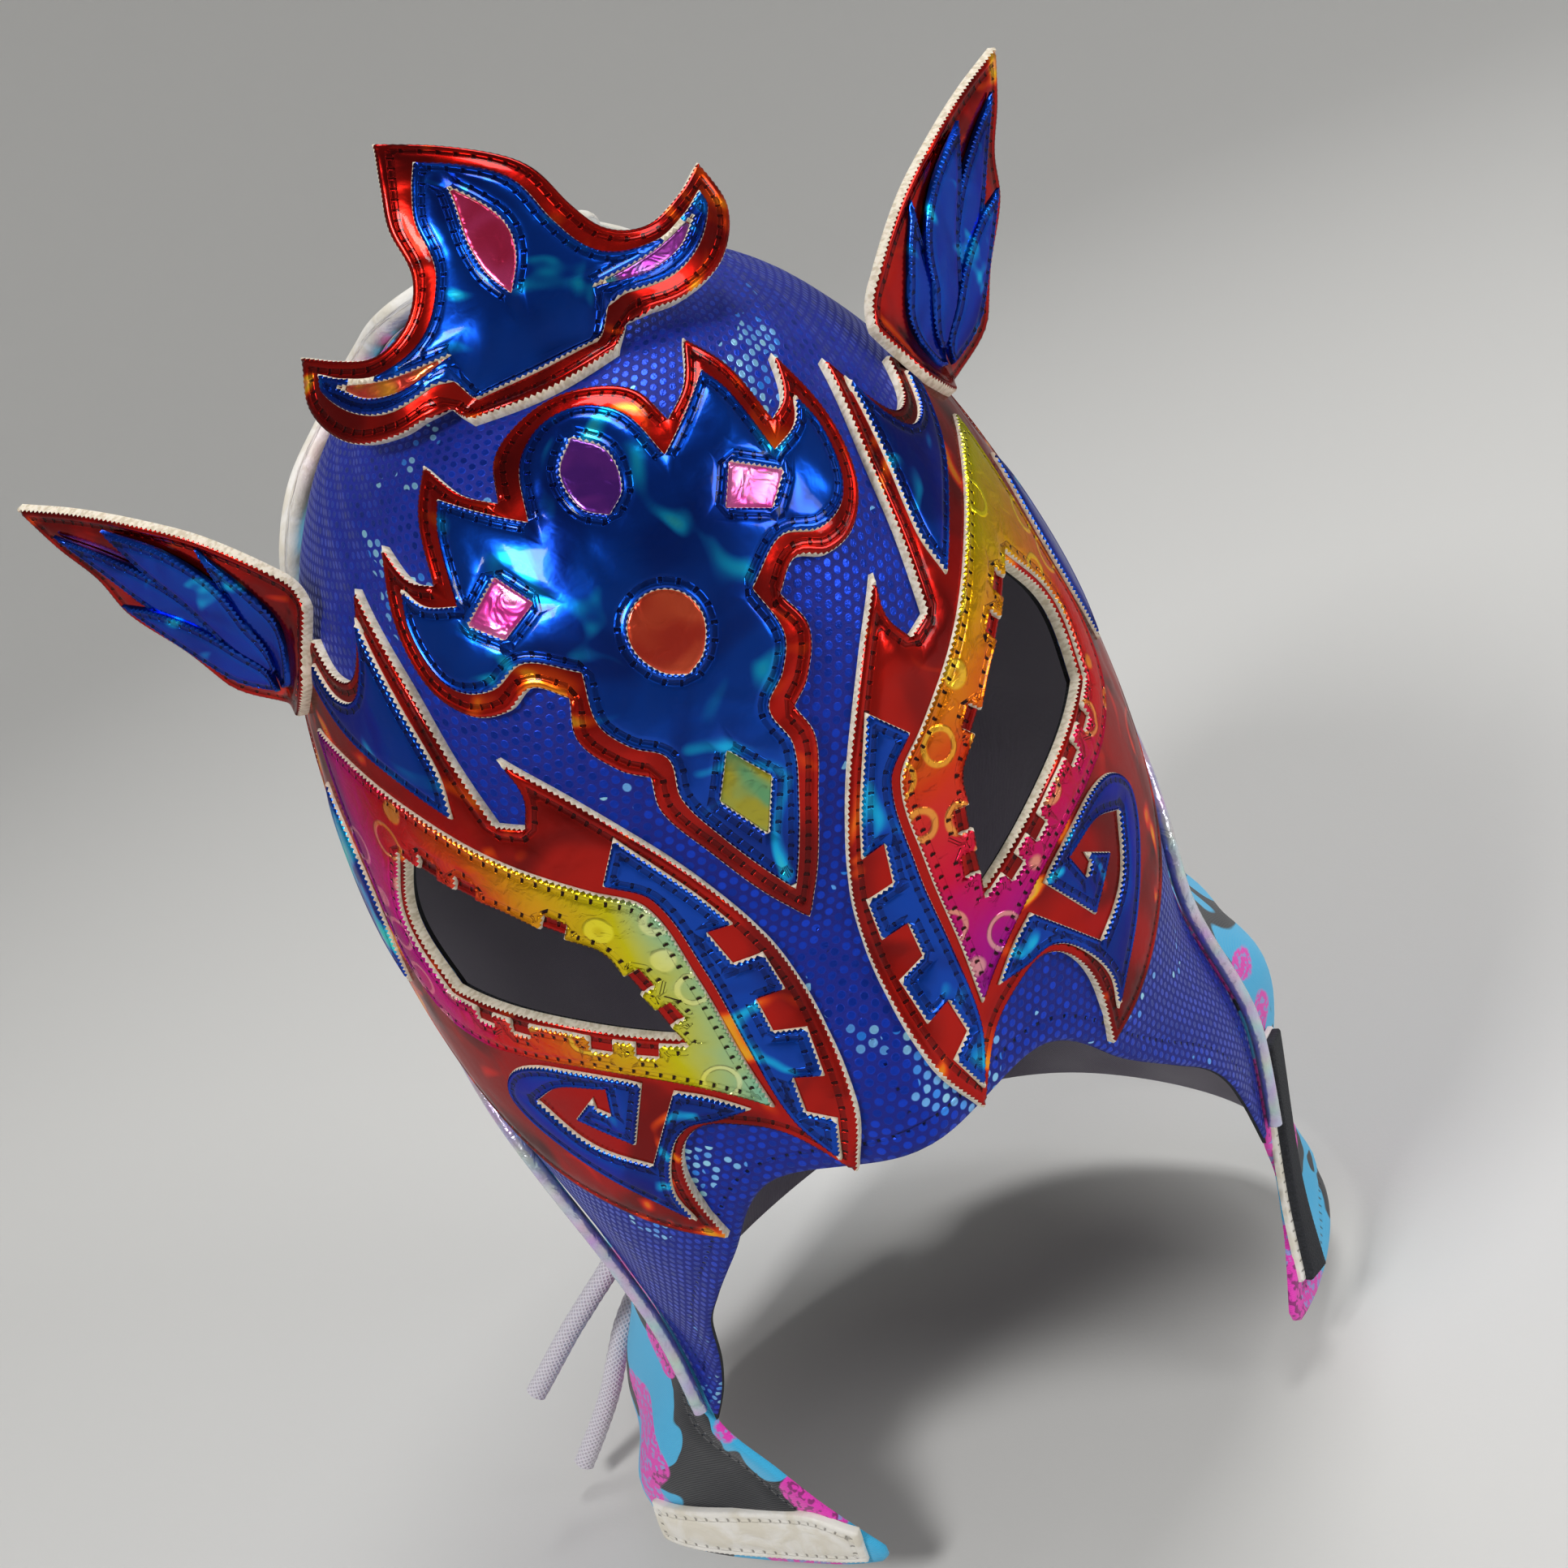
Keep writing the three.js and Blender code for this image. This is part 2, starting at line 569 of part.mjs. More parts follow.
// Eye surrounds: red base from nose to temple, with the foil pieces that lie on it.
const SURROUND = [
  [11, 216], [6.5, 203], [5.5, 186], [7.5, 170], [11.5, 158], [18, 145], [27, 132], [36, 122],
  [34.5, 129], [37, 134.5], [42.5, 133], [45, 122], [48, 107], [54, 90], [58, 99], [64, 105.5],
  [72, 105.5], [80, 100], [88, 104], [104, 106], [116, 108], [119.5, 125], [118, 145], [112, 166],
  [104, 185], [96, 199], [84, 210], [66, 220.5], [52, 227], [42, 230], [43.5, 217], [41, 207],
  [35, 201.5], [27, 203], [19, 207],
];
const TEMPLE_HOLE = [[108, 118], [112, 120], [113, 126], [110, 130], [106.5, 126], [106, 121]];
const EYE_BAND = [
  [89, 116.5], [76, 120.5], [61, 128], [46, 138], [31, 148], [23.5, 154], [21.5, 170], [20.5, 188],
  [19, 200], [26.5, 194.8], [34, 190], [41, 186.3], [50, 182.6], [61, 180], [73, 177.5], [84, 171.5],
  [89, 160], [88, 144],
];
const STRIP = [
  [23, 140], [28.5, 147.5], [22, 153], [19.8, 169], [18.8, 187], [16.8, 203], [12, 212.5], [9.5, 204],
  [14, 202], [13.5, 195], [8.5, 196], [8, 187], [13.5, 185.5], [14, 178], [8.8, 178.5], [9.7, 170],
  [15, 169.5], [16.5, 162], [12, 162.5], [15.5, 154],
];
const FLAME = [
  [55, 95], [58, 103], [64, 109], [72, 109], [80, 104], [82.5, 107.5], [73, 115], [60, 123], [50, 130.5],
  [48.5, 122], [51, 110],
];
const SCROLL = [
  [23.5, 199.5], [30, 194.7], [35.5, 191.7], [47.5, 208], [59, 202], [66.5, 191.5], [58, 187.5], [48, 188.5],
  [50, 195], [52.5, 193.2], [52, 190.5], [58.5, 195.5], [48.5, 202.5], [40.5, 188.7], [43.5, 187], [52, 183.9],
  [61, 182.3], [69, 184.5], [74.5, 191], [73, 197], [66.5, 204.5], [59.5, 211], [51, 218], [45.5, 223.5],
  [46.5, 215.5], [42.5, 206], [37, 200.5], [30, 200.2],
];
const TEMPLE_LEAF = [[98, 128], [94, 140], [93.5, 154], [98, 170], [104, 162], [107, 148], [104, 136]];

// Horns: bent plates that lie on the surround at their foot and rise free of the head.
const HORN = [
  [-8, -8], [-13, -4], [-20, 0], [-19.5, 8], [-15, 24], [-8, 37], [0, 49], [9, 60], [12.5, 50],
  [14, 41], [18.5, 33], [18.5, 20], [20, 3], [8, -8],
];

// Keeps an outline on the surround clear of the slanted foot of the horn.
function besideHorn(points) {
  const [[right, low], , [left, high]] = HORN.map(([p, q]) => [HORN_AROUND + p, HORN_DOWN - q + HORN_SLANT * p]);
  return points.map(([a, m]) => {
    const edge = THREE.MathUtils.mapLinear(m, high, low, left, right);
    return [Math.min(a, Math.max(left, edge) - HORN_CLEARANCE), m];
  });
}

// Inner edge of the eye band, cut into squares along the sides over the nose.
const SQUARE = 4.2;
const SQUARE_DEPTH = 3.2;
function squaredEye() {
  const ring = [];
  offset(EYE, 0.8).forEach((start, i, list) => {
    const a = new THREE.Vector2(...start);
    const b = new THREE.Vector2(...list[(i + 1) % list.length]);
    ring.push(start);
    if (i > 4) return;
    const along = b.clone().sub(a);
    const out = new THREE.Vector2(along.y, -along.x).normalize();
    const centre = new THREE.Vector2(...EYE[0]).add(new THREE.Vector2(...EYE[3])).multiplyScalar(0.5);
    if (out.dot(centre.sub(a)) > 0) out.negate();
    const teeth = Math.floor((along.length() - SQUARE) / (2 * SQUARE));
    const first = (along.length() - teeth * 2 * SQUARE + SQUARE) / 2;
    along.normalize();
    for (let k = 0; k < teeth; k += 1) {
      const from = a.clone().addScaledVector(along, first + k * 2 * SQUARE);
      const to = from.clone().addScaledVector(along, SQUARE);
      const corners = [from, from.clone().addScaledVector(out, SQUARE_DEPTH), to.clone().addScaledVector(out, SQUARE_DEPTH), to];
      ring.push(...corners.map((p) => p.toArray()));
    }
  });
  return ring;
}

for (const [side, turn] of SIDES) {
  const piece = (name, outline, holes, low, high, material) => {
    add(`${name}_${side}`, sheet(turn(outline), holes.map(turn), pattern, low, high), material);
  };
  piece('surround', SURROUND, [EYE, TEMPLE_HOLE], BASE_LOW, BASE_HIGH, 'red_foil');
  piece('eye_band', besideHorn(EYE_BAND), [squaredEye()], TOP_LOW, TOP_HIGH, 'rainbow_foil');
  piece('nose_strip', STRIP, [], TOP_LOW, TOP_HIGH, 'blue_foil');
  piece('temple_flame', besideHorn(FLAME), [], TOP_LOW, TOP_HIGH, 'blue_foil');
  piece('cheek_scroll', SCROLL, [], TOP_LOW, TOP_HIGH, 'blue_foil');
  piece('temple_leaf', TEMPLE_LEAF, [], TOP_LOW, TOP_HIGH, 'blue_foil');
}

// Leaves on a horn.
const LEAF_SPRIG = [
  [3, -4], [-5, 1], [-11, 10], [-13.5, 24], [-8.5, 17], [-8.5, 29], [-3, 42], [0.5, 30], [3.5, 40],
  [8, 51], [9, 41], [8, 30], [14, 34], [14.5, 22], [14.5, 9], [10, -2],
];

// Surface of a horn: p across it from its middle, q from its foot to its tip.
function hornSurface(side) {
  const name = side < 0 ? 'left' : 'right';
  const rise = HORN_RISE[name].clone().normalize();
  const across = HORN_ACROSS.clone().addScaledVector(rise, -HORN_ACROSS.dot(rise)).normalize();
  const foot = pattern(HORN_AROUND, HORN_DOWN);
  foot.add(new THREE.Vector3(HORN_STAND_OUT[name], HORN_SHIFT, HORN_SHIFT));
  return (p, q) => {
    const wide = p * side;
    const onHead = pattern(HORN_AROUND + wide, HORN_DOWN - q + HORN_SLANT * wide);
    const free = foot.clone().addScaledVector(rise, q).addScaledVector(across, wide);
    const point = onHead.lerp(free, ease((q - HORN_RISE_FROM) / HORN_RISE_OVER));
    point.x *= side;
    return point;
  };
}

for (const [side, turn] of SIDES) {
  const across = side === 'left' ? -1 : 1;
  const surface = hornSurface(across);
  const upright = (p, q) => surface(p, q);
  const down = (p, v) => upright(p, -v);
  const flip = (points) => turn(points).map(([p, q]) => [p, -q]);
  add(`horn_${side}`, sheet(flip(HORN), [], down, TOP_LOW, TOP_LOW + FOAM_THICKNESS), 'red_foil');
  const leafLow = TOP_LOW + FOAM_THICKNESS + LAYER_GAP;
  add(`horn_leaves_${side}`, sheet(flip(LEAF_SPRIG), [], down, leafLow, leafLow + FOIL_THICKNESS), 'blue_foil');
}

// Crest: a flame plate whose foot lies on the brow and which stands up off the crown.
const CREST_BASE = [
  [0, -1], [14, 0], [17, 7], [26, 6.5], [35, 10.5], [40, 20], [38, 30], [32, 25], [25, 21.5],
  [18.5, 23.5], [14.5, 30], [12.5, 40.5], [7, 48.5], [0, 56],
];
const CREST_TOP = [
  [0, 4], [11, 4.5], [14.5, 11], [25, 10.5], [31.5, 14], [36, 21], [35.5, 24.5], [31.5, 21],
  [25, 17.8], [16, 19.5], [10.5, 28], [8.5, 38.5], [4.5, 44.5], [0, 49],
];
const CREST_SIDE_WINDOW = [[12.5, 14], [22, 12.9], [28.5, 15.2], [33, 20.3], [24, 16]];
const CREST_WINDOWS = [
  ['crest_window_middle', bothHalves([[0, 19], [2.8, 25], [3.2, 32], [0, 42]])],
  ['crest_window_left', mirror(CREST_SIDE_WINDOW)],
  ['crest_window_right', CREST_SIDE_WINDOW],
];
const LEAN = THREE.MathUtils.degToRad(CREST_BACK_LEAN);
const crestFoot = pattern(0, CREST_FOOT);

// Surface of the crest: u across, v down from its tip side, negative above the foot.
function crestSurface(u, v) {
  const rise = -v;
  const shifted = u + CREST_SIDE_LEAN * Math.max(rise, 0) - CREST_TIP_TURN * Math.max(rise - CREST_TURN_FROM, 0) ** 2;
  const onHead = pattern(u, CREST_FOOT + Math.max(v, -24));
  const free = new THREE.Vector3(
    shifted,
    crestFoot.y + rise * Math.sin(LEAN) + CREST_CURL * u * u,
    crestFoot.z + rise * Math.cos(LEAN) - CREST_DROOP * u * u,
  );
  const lifted = rise - 2 + (0.03 * u * u * u * u) / (u * u + CREST_SEAT ** 2);
  return onHead.lerp(free, ease(lifted / CREST_BEND));
}

const upwards = (points) => points.map(([u, v]) => [u, -v]);
const crestLow = HOOD_WALL + LAYER_GAP;
const crestTopLow = crestLow + FOAM_THICKNESS + LAYER_GAP;
const crestHoles = CREST_WINDOWS.map(([, outline]) => upwards(outline));
add('crest_base', sheet(upwards(bothHalves(CREST_BASE)), [], crestSurface, crestLow, crestLow + FOAM_THICKNESS), 'red_foil');
add('crest_top', sheet(upwards(bothHalves(CREST_TOP)), crestHoles, crestSurface, crestTopLow, crestTopLow + FOIL_THICKNESS), 'blue_foil');
for (const [name, outline] of CREST_WINDOWS) {
  const pane = offset(upwards(outline), -INLAY_GAP);
  add(name, sheet(pane, [], crestSurface, crestTopLow, crestTopLow + WINDOW_THICKNESS), 'window_foil');
}

// Neck band on the left corner, hook tape and its backing on the right one.
const NECK_BAND = [[49, 338], [60, 333], [97, 337], [97, 347.5], [50, 347.5]];
add('neck_band', sheet(mirror(NECK_BAND), [], pattern, BASE_LOW, BASE_LOW + BAND_THICKNESS), 'cream_vinyl');
const TAPE_ENDS = [[seam(288) + 10, 288], [71, 344]];
function strip([from, to], width) {
  const [a, b] = [new THREE.Vector2(...from), new THREE.Vector2(...to)];
  const side = b.clone().sub(a).normalize().rotateAround(new THREE.Vector2(), Math.PI / 2).multiplyScalar(width / 2);
  return [a.clone().sub(side), b.clone().sub(side), b.clone().add(side), a.clone().add(side)].map((p) => p.toArray());
}
const tapeLow = BASE_LOW + TAPE_BACKING_THICKNESS + LAYER_GAP;
const backing = sheet(strip(TAPE_ENDS, TAPE_BACKING_WIDTH), [], pattern, BASE_LOW, BASE_LOW + TAPE_BACKING_THICKNESS);
add('tape_backing', backing, 'cream_vinyl');
add('hook_tape', sheet(strip(TAPE_ENDS, TAPE_WIDTH), [], pattern, tapeLow, tapeLow + TAPE_THICKNESS), 'black_tape');

// Lace flap inside the slit, and the facings with a loop for each row of the lace.
const TONGUE = [
  [-TONGUE_HALF_WIDTH, SLIT_TOP + 4], [TONGUE_HALF_WIDTH, SLIT_TOP + 4],
  [TONGUE_HALF_WIDTH, NECK_BACK_EDGE - 8], [-TONGUE_HALF_WIDTH, NECK_BACK_EDGE - 8],
];
const tongueHigh = -LAYER_GAP - HOOD_SINK;
add('lace_flap', sheet(TONGUE, [], backPattern, tongueHigh - TONGUE_THICKNESS, tongueHigh, HOOD_SINK, HOOD_SINK), 'print_cloth');

const FACING_LOW = HOOD_WALL + LAYER_GAP;
const FACING_HIGH = FACING_LOW + FACING_THICKNESS;
const LACE_HEIGHT = FACING_HIGH + LACE_CLEARANCE + LACE_DIAMETER / 2;
const laceRow = (k) => LACE_FIRST_ROW + k * LACE_ROW_PITCH;

// Arch that stands on a facing, open along the lace.
function laceLoop(b, m) {
  const inner = LACE_DIAMETER / 2 + LACE_CLEARANCE;
  const outer = inner + LOOP_WALL;
  const base = LACE_HEIGHT - FACING_HIGH + FACING_THICKNESS / 2;
  const arch = new THREE.Shape();
  arch.moveTo(outer, -base);
  arch.lineTo(outer, 0);
  arch.absarc(0, 0, outer, 0, Math.PI);
  arch.lineTo(-outer, -base);
  arch.lineTo(-inner, -base);
  arch.lineTo(-inner, 0);
  arch.absarc(0, 0, inner, Math.PI, 0, true);
  arch.lineTo(inner, -base);
  const geometry = new THREE.ExtrudeGeometry(arch, { depth: LOOP_LENGTH, bevelEnabled: false, curveSegments: 2 });
  geometry.translate(0, 0, -LOOP_LENGTH / 2);
  const up = normalAt(backPattern, b, m);
  const along = backPattern(b, m + 2).sub(backPattern(b, m - 2));
  along.addScaledVector(up, -along.dot(up)).normalize();
  const across = up.clone().cross(along);
  const frame = new THREE.Matrix4().makeBasis(across, up, along);
  frame.setPosition(aboveBack(b, m, LACE_HEIGHT));
  return geometry.applyMatrix4(frame);
}

for (const [side] of SIDES) {
  const s = side === 'left' ? 1 : -1;
  const near = SLIT_HALF_WIDTH + 1;
  const far = near + FACING_WIDTH;
  const [top, low] = [laceRow(0) - 10, laceRow(LACE_ROWS - 1) + 10];
  const outline = [[near, top], [far, top], [far, low], [near, low]].map(([b, m]) => [s * b, m]);
  let body = manifoldOf(sheet(outline, [], backPattern, FACING_LOW, FACING_HIGH, FACET_SINK, FACET_SINK));
  for (let k = 0; k < LACE_ROWS; k += 1) body = body.add(manifoldOf(laceLoop(s * LOOP_SIDE, laceRow(k))));
  add(`lace_facing_${side}`, geometryOf(body), 'cream_vinyl');
}

// The lace: two strands that cross between the rows, joined by a bar over the first row.
const CROSS_UNDER = LACE_HEIGHT;
const CROSS_OVER = CROSS_UNDER + LACE_DIAMETER + LACE_CLEARANCE;
function strand(start, height) {
  const route = [];
  for (let k = 0; k < LACE_ROWS; k += 1) {
    const b = k % 2 ? -start : start;
    route.push(aboveBack(b, laceRow(k) - LACE_STRAIGHT / 2, LACE_HEIGHT));
    route.push(aboveBack(b, laceRow(k) + LACE_STRAIGHT / 2, LACE_HEIGHT));
    if (k < LACE_ROWS - 1) route.push(aboveBack(0, laceRow(k + 0.5), height));
  }
  return route;
}
const laceRoute = [
  ...strand(-LOOP_SIDE, CROSS_OVER).reverse(),
  aboveBack(-LOOP_SIDE / 2, laceRow(0) - 15, LACE_HEIGHT),
  aboveBack(LOOP_SIDE / 2, laceRow(0) - 15, LACE_HEIGHT),
  ...strand(LOOP_SIDE, CROSS_UNDER),
];
add('lace', tube(laceRoute, LACE_DIAMETER, 74, 8), 'white_cord');

// Free ends of the lace, which start where it leaves the last loops, run round the left of the neck
// and stand out past it.
const LACE_END_ONE = [
  [-15.9, 81.3, -183.9], [-15.9, 80.3, -188.3], [-18.5, 76.8, -197.5], [-25.5, 74.2, -206],
  [-38, 69.2, -213], [-50, 62.4, -219], [-61, 54.9, -224], [-70.8, 44.4, -228.5], [-78.8, 34, -233],
  [-87, 31, -239], [-96, 30.5, -245], [-105, 30, -251], [-113, 29.5, -257], [-121, 29, -263],
];
const LACE_END_TWO = [
  [15.9, 81.3, -183.9], [15.9, 80.3, -188.3], [15, 77.6, -198], [10, 77.2, -208], [0, 77, -217],
  [-13, 75.9, -224], [-27, 73, -230], [-41, 68.8, -235], [-54, 63.1, -240], [-66, 56, -245],
  [-76, 49.1, -250], [-84, 42.6, -255], [-93, 36.5, -261], [-99, 34, -268], [-105, 33, -276],
  [-113, 32, -284.5], [-121, 31, -292],
];
for (const [name, points] of [['lace_end_one', LACE_END_ONE], ['lace_end_two', LACE_END_TWO]]) {
  add(name, tube(points.map((p) => new THREE.Vector3(...p)), LACE_DIAMETER, 18, 8), 'white_cord');
}

export default mask;
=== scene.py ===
"""Wrestling mask: the looks of a laced stretch-cloth hood with foil appliques, around its solids.

Pattern lengths are in millimetres: a runs around the head from the middle of the face, positive to the
right, and m runs down the middle of the face from the crown. Meshes are made from them in metres.
"""

import math

import bpy
import numpy as np
from mathutils import Matrix, Vector
from mathutils.geometry import delaunay_2d_cdt


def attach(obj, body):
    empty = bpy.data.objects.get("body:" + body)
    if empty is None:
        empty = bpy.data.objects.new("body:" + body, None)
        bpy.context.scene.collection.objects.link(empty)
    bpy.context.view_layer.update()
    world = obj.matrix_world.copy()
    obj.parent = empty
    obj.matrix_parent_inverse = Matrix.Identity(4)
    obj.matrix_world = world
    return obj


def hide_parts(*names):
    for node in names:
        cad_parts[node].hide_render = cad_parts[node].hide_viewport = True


bl_info = {
    "name": "Laced Wrestling Mask",
    "version": (1, 0, 0),
    "blender": (4, 5, 0),
    "location": "View3D > Sidebar > Mask",
    "description": "Builds a wrestling mask with foil appliques, a crest, horns and a laced back",
    "category": "Add Mesh",
}

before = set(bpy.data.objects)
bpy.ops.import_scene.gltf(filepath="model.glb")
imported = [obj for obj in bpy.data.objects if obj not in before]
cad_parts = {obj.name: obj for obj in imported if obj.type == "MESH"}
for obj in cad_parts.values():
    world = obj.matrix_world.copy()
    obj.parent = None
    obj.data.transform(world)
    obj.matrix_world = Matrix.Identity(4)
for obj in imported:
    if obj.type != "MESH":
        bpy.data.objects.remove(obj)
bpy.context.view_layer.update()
MM = 0.001
SIDES = {"left": -1, "right": 1}

# Head form

HALF_WIDTH, FRONT, BACK, FACE = 78.5, 98.5, 98.5, 228.0
NOSE_OUT, NOSE_WIDTH, NECK_FLARE = 14.0, 17.0, 22.0
NOSE_SPAN = (0.46, 0.667, 0.772)
FLARE_SPAN, FLARE_FRONT = (0.9, 1.23), 0.3
BULGE_AT_SEAM, BULGE_BEHIND, BULGE_SPAN, BULGE_LOW = 8.0, 10.0, (0.76, 0.95), (0.4, 0.25)

# Cross sections from the crown down, as shares of the sizes above. square is the exponent of the oval
# and seam the angle of the side seam from the face, in degrees.
SECTION_NAMES = ("drop", "side", "front", "back", "square", "seam")
SECTIONS = np.array([
    (0.00, 0.00, 0.00, 0.00, 2.00, 96),
    (0.01, 0.23, 0.26, 0.26, 2.00, 96),
    (0.04, 0.44, 0.50, 0.50, 2.00, 96),
    (0.09, 0.63, 0.71, 0.71, 2.05, 96),
    (0.16, 0.78, 0.85, 0.86, 2.10, 96),
    (0.25, 0.89, 0.94, 0.96, 2.15, 96),
    (0.35, 0.96, 0.98, 1.02, 2.20, 95),
    (0.45, 1.00, 0.985, 1.03, 2.25, 94),
    (0.55, 1.01, 0.96, 1.00, 2.30, 90),
    (0.65, 1.00, 0.95, 0.90, 2.30, 82),
    (0.75, 0.97, 0.93, 0.80, 2.25, 73),
    (0.87, 0.94, 0.89, 0.74, 2.20, 69),
    (1.00, 0.93, 0.78, 0.72, 2.20, 64),
    (1.13, 0.95, 0.70, 0.74, 2.20, 58),
    (1.26, 1.00, 0.68, 0.78, 2.20, 54),
    (1.33, 1.01, 0.68, 0.79, 2.20, 52),
])


def ease(x):
    """Smooth step from 0 to 1."""
    t = np.clip(x, 0, 1)
    return t * t * (3 - 2 * t)


def column(values):
    """Smooth curve through one column of the section table that never overshoots its rows."""
    rise = np.diff(values)
    before, after = rise[:-1], rise[1:]
    both = before + after
    slope = np.zeros(len(values))
    slope[1:-1] = np.where(before * after > 0, 2 * before * after / np.where(both == 0, 1, both), 0)
    for end, near, beyond in ((0, rise[0], rise[1]), (-1, rise[-1], rise[-2])):
        tilt = (3 * near - beyond) / 2
        if tilt * near > 0:
            slope[end] = 3 * near if near * beyond < 0 and abs(tilt) > 3 * abs(near) else tilt

    def at(t):
        i = np.clip(np.floor(t).astype(int), 0, len(values) - 2)
        u = t - i
        bend = slope[i] + slope[i + 1] - 2 * rise[i]
        return values[i] + u * (slope[i] + u * (3 * rise[i] - 2 * slope[i] - slope[i + 1] + u * bend))

    return at


section = {name: column(SECTIONS[:, k]) for k, name in enumerate(SECTION_NAMES)}


def oval(t, angle):
    """Point of the bare oval head at row t of the table and an angle from the face."""
    power = 2 / section["square"](t)
    c, s = np.cos(angle), np.sin(angle)
    depth = np.where(c > 0, -FRONT * section["front"](t), BACK * section["back"](t))
    across = HALF_WIDTH * section["side"](t) * np.sign(s) * np.abs(s) ** power
    return np.stack([across, depth * np.abs(c) ** power, -FACE * section["drop"](t) + 0 * s], -1)


def head(t, angle):
    """The same point with the nose, the loose left corner of the neck and the bulge beside the right seam."""
    p = oval(t, angle)
    drop = section["drop"](t)
    low, peak, high = NOSE_SPAN
    nose = ease((drop - low) / (peak - low)) * ease((high - drop) / (high - peak))
    p[..., 1] -= np.where(np.cos(angle) > 0, NOSE_OUT * nose * np.exp(-((p[..., 0] / NOSE_WIDTH) ** 2)), 0)
    start, end = FLARE_SPAN
    flare = NECK_FLARE * (FLARE_FRONT + (1 - FLARE_FRONT) * ease((p[..., 1] + 50) / 35))
    p[..., 0] -= flare * ease((drop - start) / (end - start)) * ease(-p[..., 0] / HALF_WIDTH)
    start, end = BULGE_SPAN
    bulge = BULGE_AT_SEAM + BULGE_BEHIND * ease((p[..., 1] + 40) / 35)
    reach = ease((drop - start) / (end - start)) * ease((60 - p[..., 1]) / 45)
    fade = 1 - (1 - BULGE_LOW[0]) * ease((drop - end) / BULGE_LOW[1])
    p[..., 0] += bulge * reach * fade * ease(p[..., 0] / HALF_WIDTH)
    return p


# Lengths along the bare head, which turn pattern sizes into places on it.
LEVELS = np.linspace(0, len(SECTIONS) - 1, 12 * (len(SECTIONS) - 1) + 1)
ANGLES = np.linspace(0, math.pi, 181)
GRID = oval(LEVELS[:, None], ANGLES[None, :])
AROUND = np.zeros((len(LEVELS), len(ANGLES)))
AROUND[:, 1:] = np.cumsum(np.linalg.norm(np.diff(GRID, axis=1), axis=2), axis=1)
DOWN = np.concatenate([[0], np.cumsum(np.linalg.norm(np.diff(GRID[:, 0], axis=0), axis=1))])
SHARES = np.linspace(0, 1, 721)
TURN = np.array([np.interp(SHARES * row[-1], row,
                           ANGLES) if row[-1] > 0 else SHARES * math.pi for row in AROUND])


def level(m):
    """Index of the level above m, and the share of the way to the next."""
    i = np.clip(np.searchsorted(DOWN, m, side="right") - 1, 0, len(DOWN) - 2)
    return i, np.clip((m - DOWN[i]) / (DOWN[i + 1] - DOWN[i]), 0, 1)


def half_round(m):
    """Half the way around the head at m."""
    i, share = level(m)
    return (1 - share) * AROUND[i, -1] + share * AROUND[i + 1, -1]


def face_chart(a, m):
    """Place on the inner face of the hood of a pattern point."""
    i, share = level(m)
    spot = np.clip(np.abs(a) / np.maximum(half_round(m), 1e-6), 0, 1) * (len(SHARES) - 1)
    k = np.clip(spot.astype(int), 0, len(SHARES) - 2)
    part = spot - k
    turns = [TURN[j, k] * (1 - part) + TURN[j, k + 1] * part for j in (i, i + 1)]
    angle = turns[0] * (1 - share) + turns[1] * share
    return head(LEVELS[i] * (1 - share) + LEVELS[i + 1] * share, np.where(a < 0, -angle, angle))


def back_chart(b, m):
    """The same, with b measured from the middle of the back, positive to the left side of the face."""
    reach = half_round(m) - np.abs(b)
    return face_chart(np.where(b > 0, -reach, reach), m)


def seam(m):
    """How far around the side seam lies at m."""
    m = np.asarray(m, float)
    i, share = level(m)
    spot = section["seam"](LEVELS[i] * (1 - share) + LEVELS[i + 1] * share) / 180 * (len(ANGLES) - 1)
    k = spot.astype(int)
    part = spot - k
    along = [AROUND[j, k] * (1 - part) + AROUND[j, k + 1] * part for j in (i, i + 1)]
    return along[0] * (1 - share) + along[1] * share


def lift(chart, flat, height):
    """Points of a chart raised along its outward normal, all in millimetres."""
    u, v = np.asarray(flat, float).T
    step = 0.4
    across = chart(u + step, v) - chart(u - step, v)
    along = chart(u, v + step) - chart(u, v - step)
    normal = np.cross(along, across)
    normal /= np.maximum(np.linalg.norm(normal, axis=1, keepdims=True), 1e-9)
    return chart(u, v) + normal * np.broadcast_to(np.asarray(height, float), u.shape)[:, None]


# Mesh tools


def rounded(points, step, sharp=58):
    """Closed outline with a point every step. It stays a corner where it turns by more than sharp degrees."""
    spots = np.array([p[:2] for p in points], float)
    ways = np.roll(spots, -1, axis=0) - spots
    before = np.roll(ways, 1, axis=0)
    long, long_before = (np.linalg.norm(way, axis=1) for way in (ways, before))
    bend = np.arccos(np.clip((ways * before).sum(1) / long / long_before, -1, 1))
    smooth = np.degrees(bend) < sharp
    line = []
    for i, start in enumerate(spots):
        end, before, after = spots[(i + 1) % len(spots)], spots[i - 1], spots[(i + 2) % len(spots)]
        chord = end - start
        length = np.linalg.norm(chord)
        leave, arrive = chord, chord
        if smooth[i]:
            leave = (end - before) / max(np.linalg.norm(end - before), 1e-9) * length
        if smooth[(i + 1) % len(spots)]:
            arrive = (after - start) / max(np.linalg.norm(after - start), 1e-9) * length
        count = max(1, math.ceil(length / step))
        t = (np.arange(count) / count)[:, None]
        line.append((2 * t**3 - 3 * t**2 + 1) * start + (t**3 - 2 * t**2 + t) * leave
                    + (3 * t**2 - 2 * t**3) * end + (t**3 - t**2) * arrive)
    return np.concatenate(line)


def mirrored(points):
    return [(-p[0], *p[1:]) for p in points]


def both_halves(half):
    """Closed outline from its right half, whose first and last points lie on the middle line."""
    return [*half, *mirrored(half[1:-1])[::-1]]


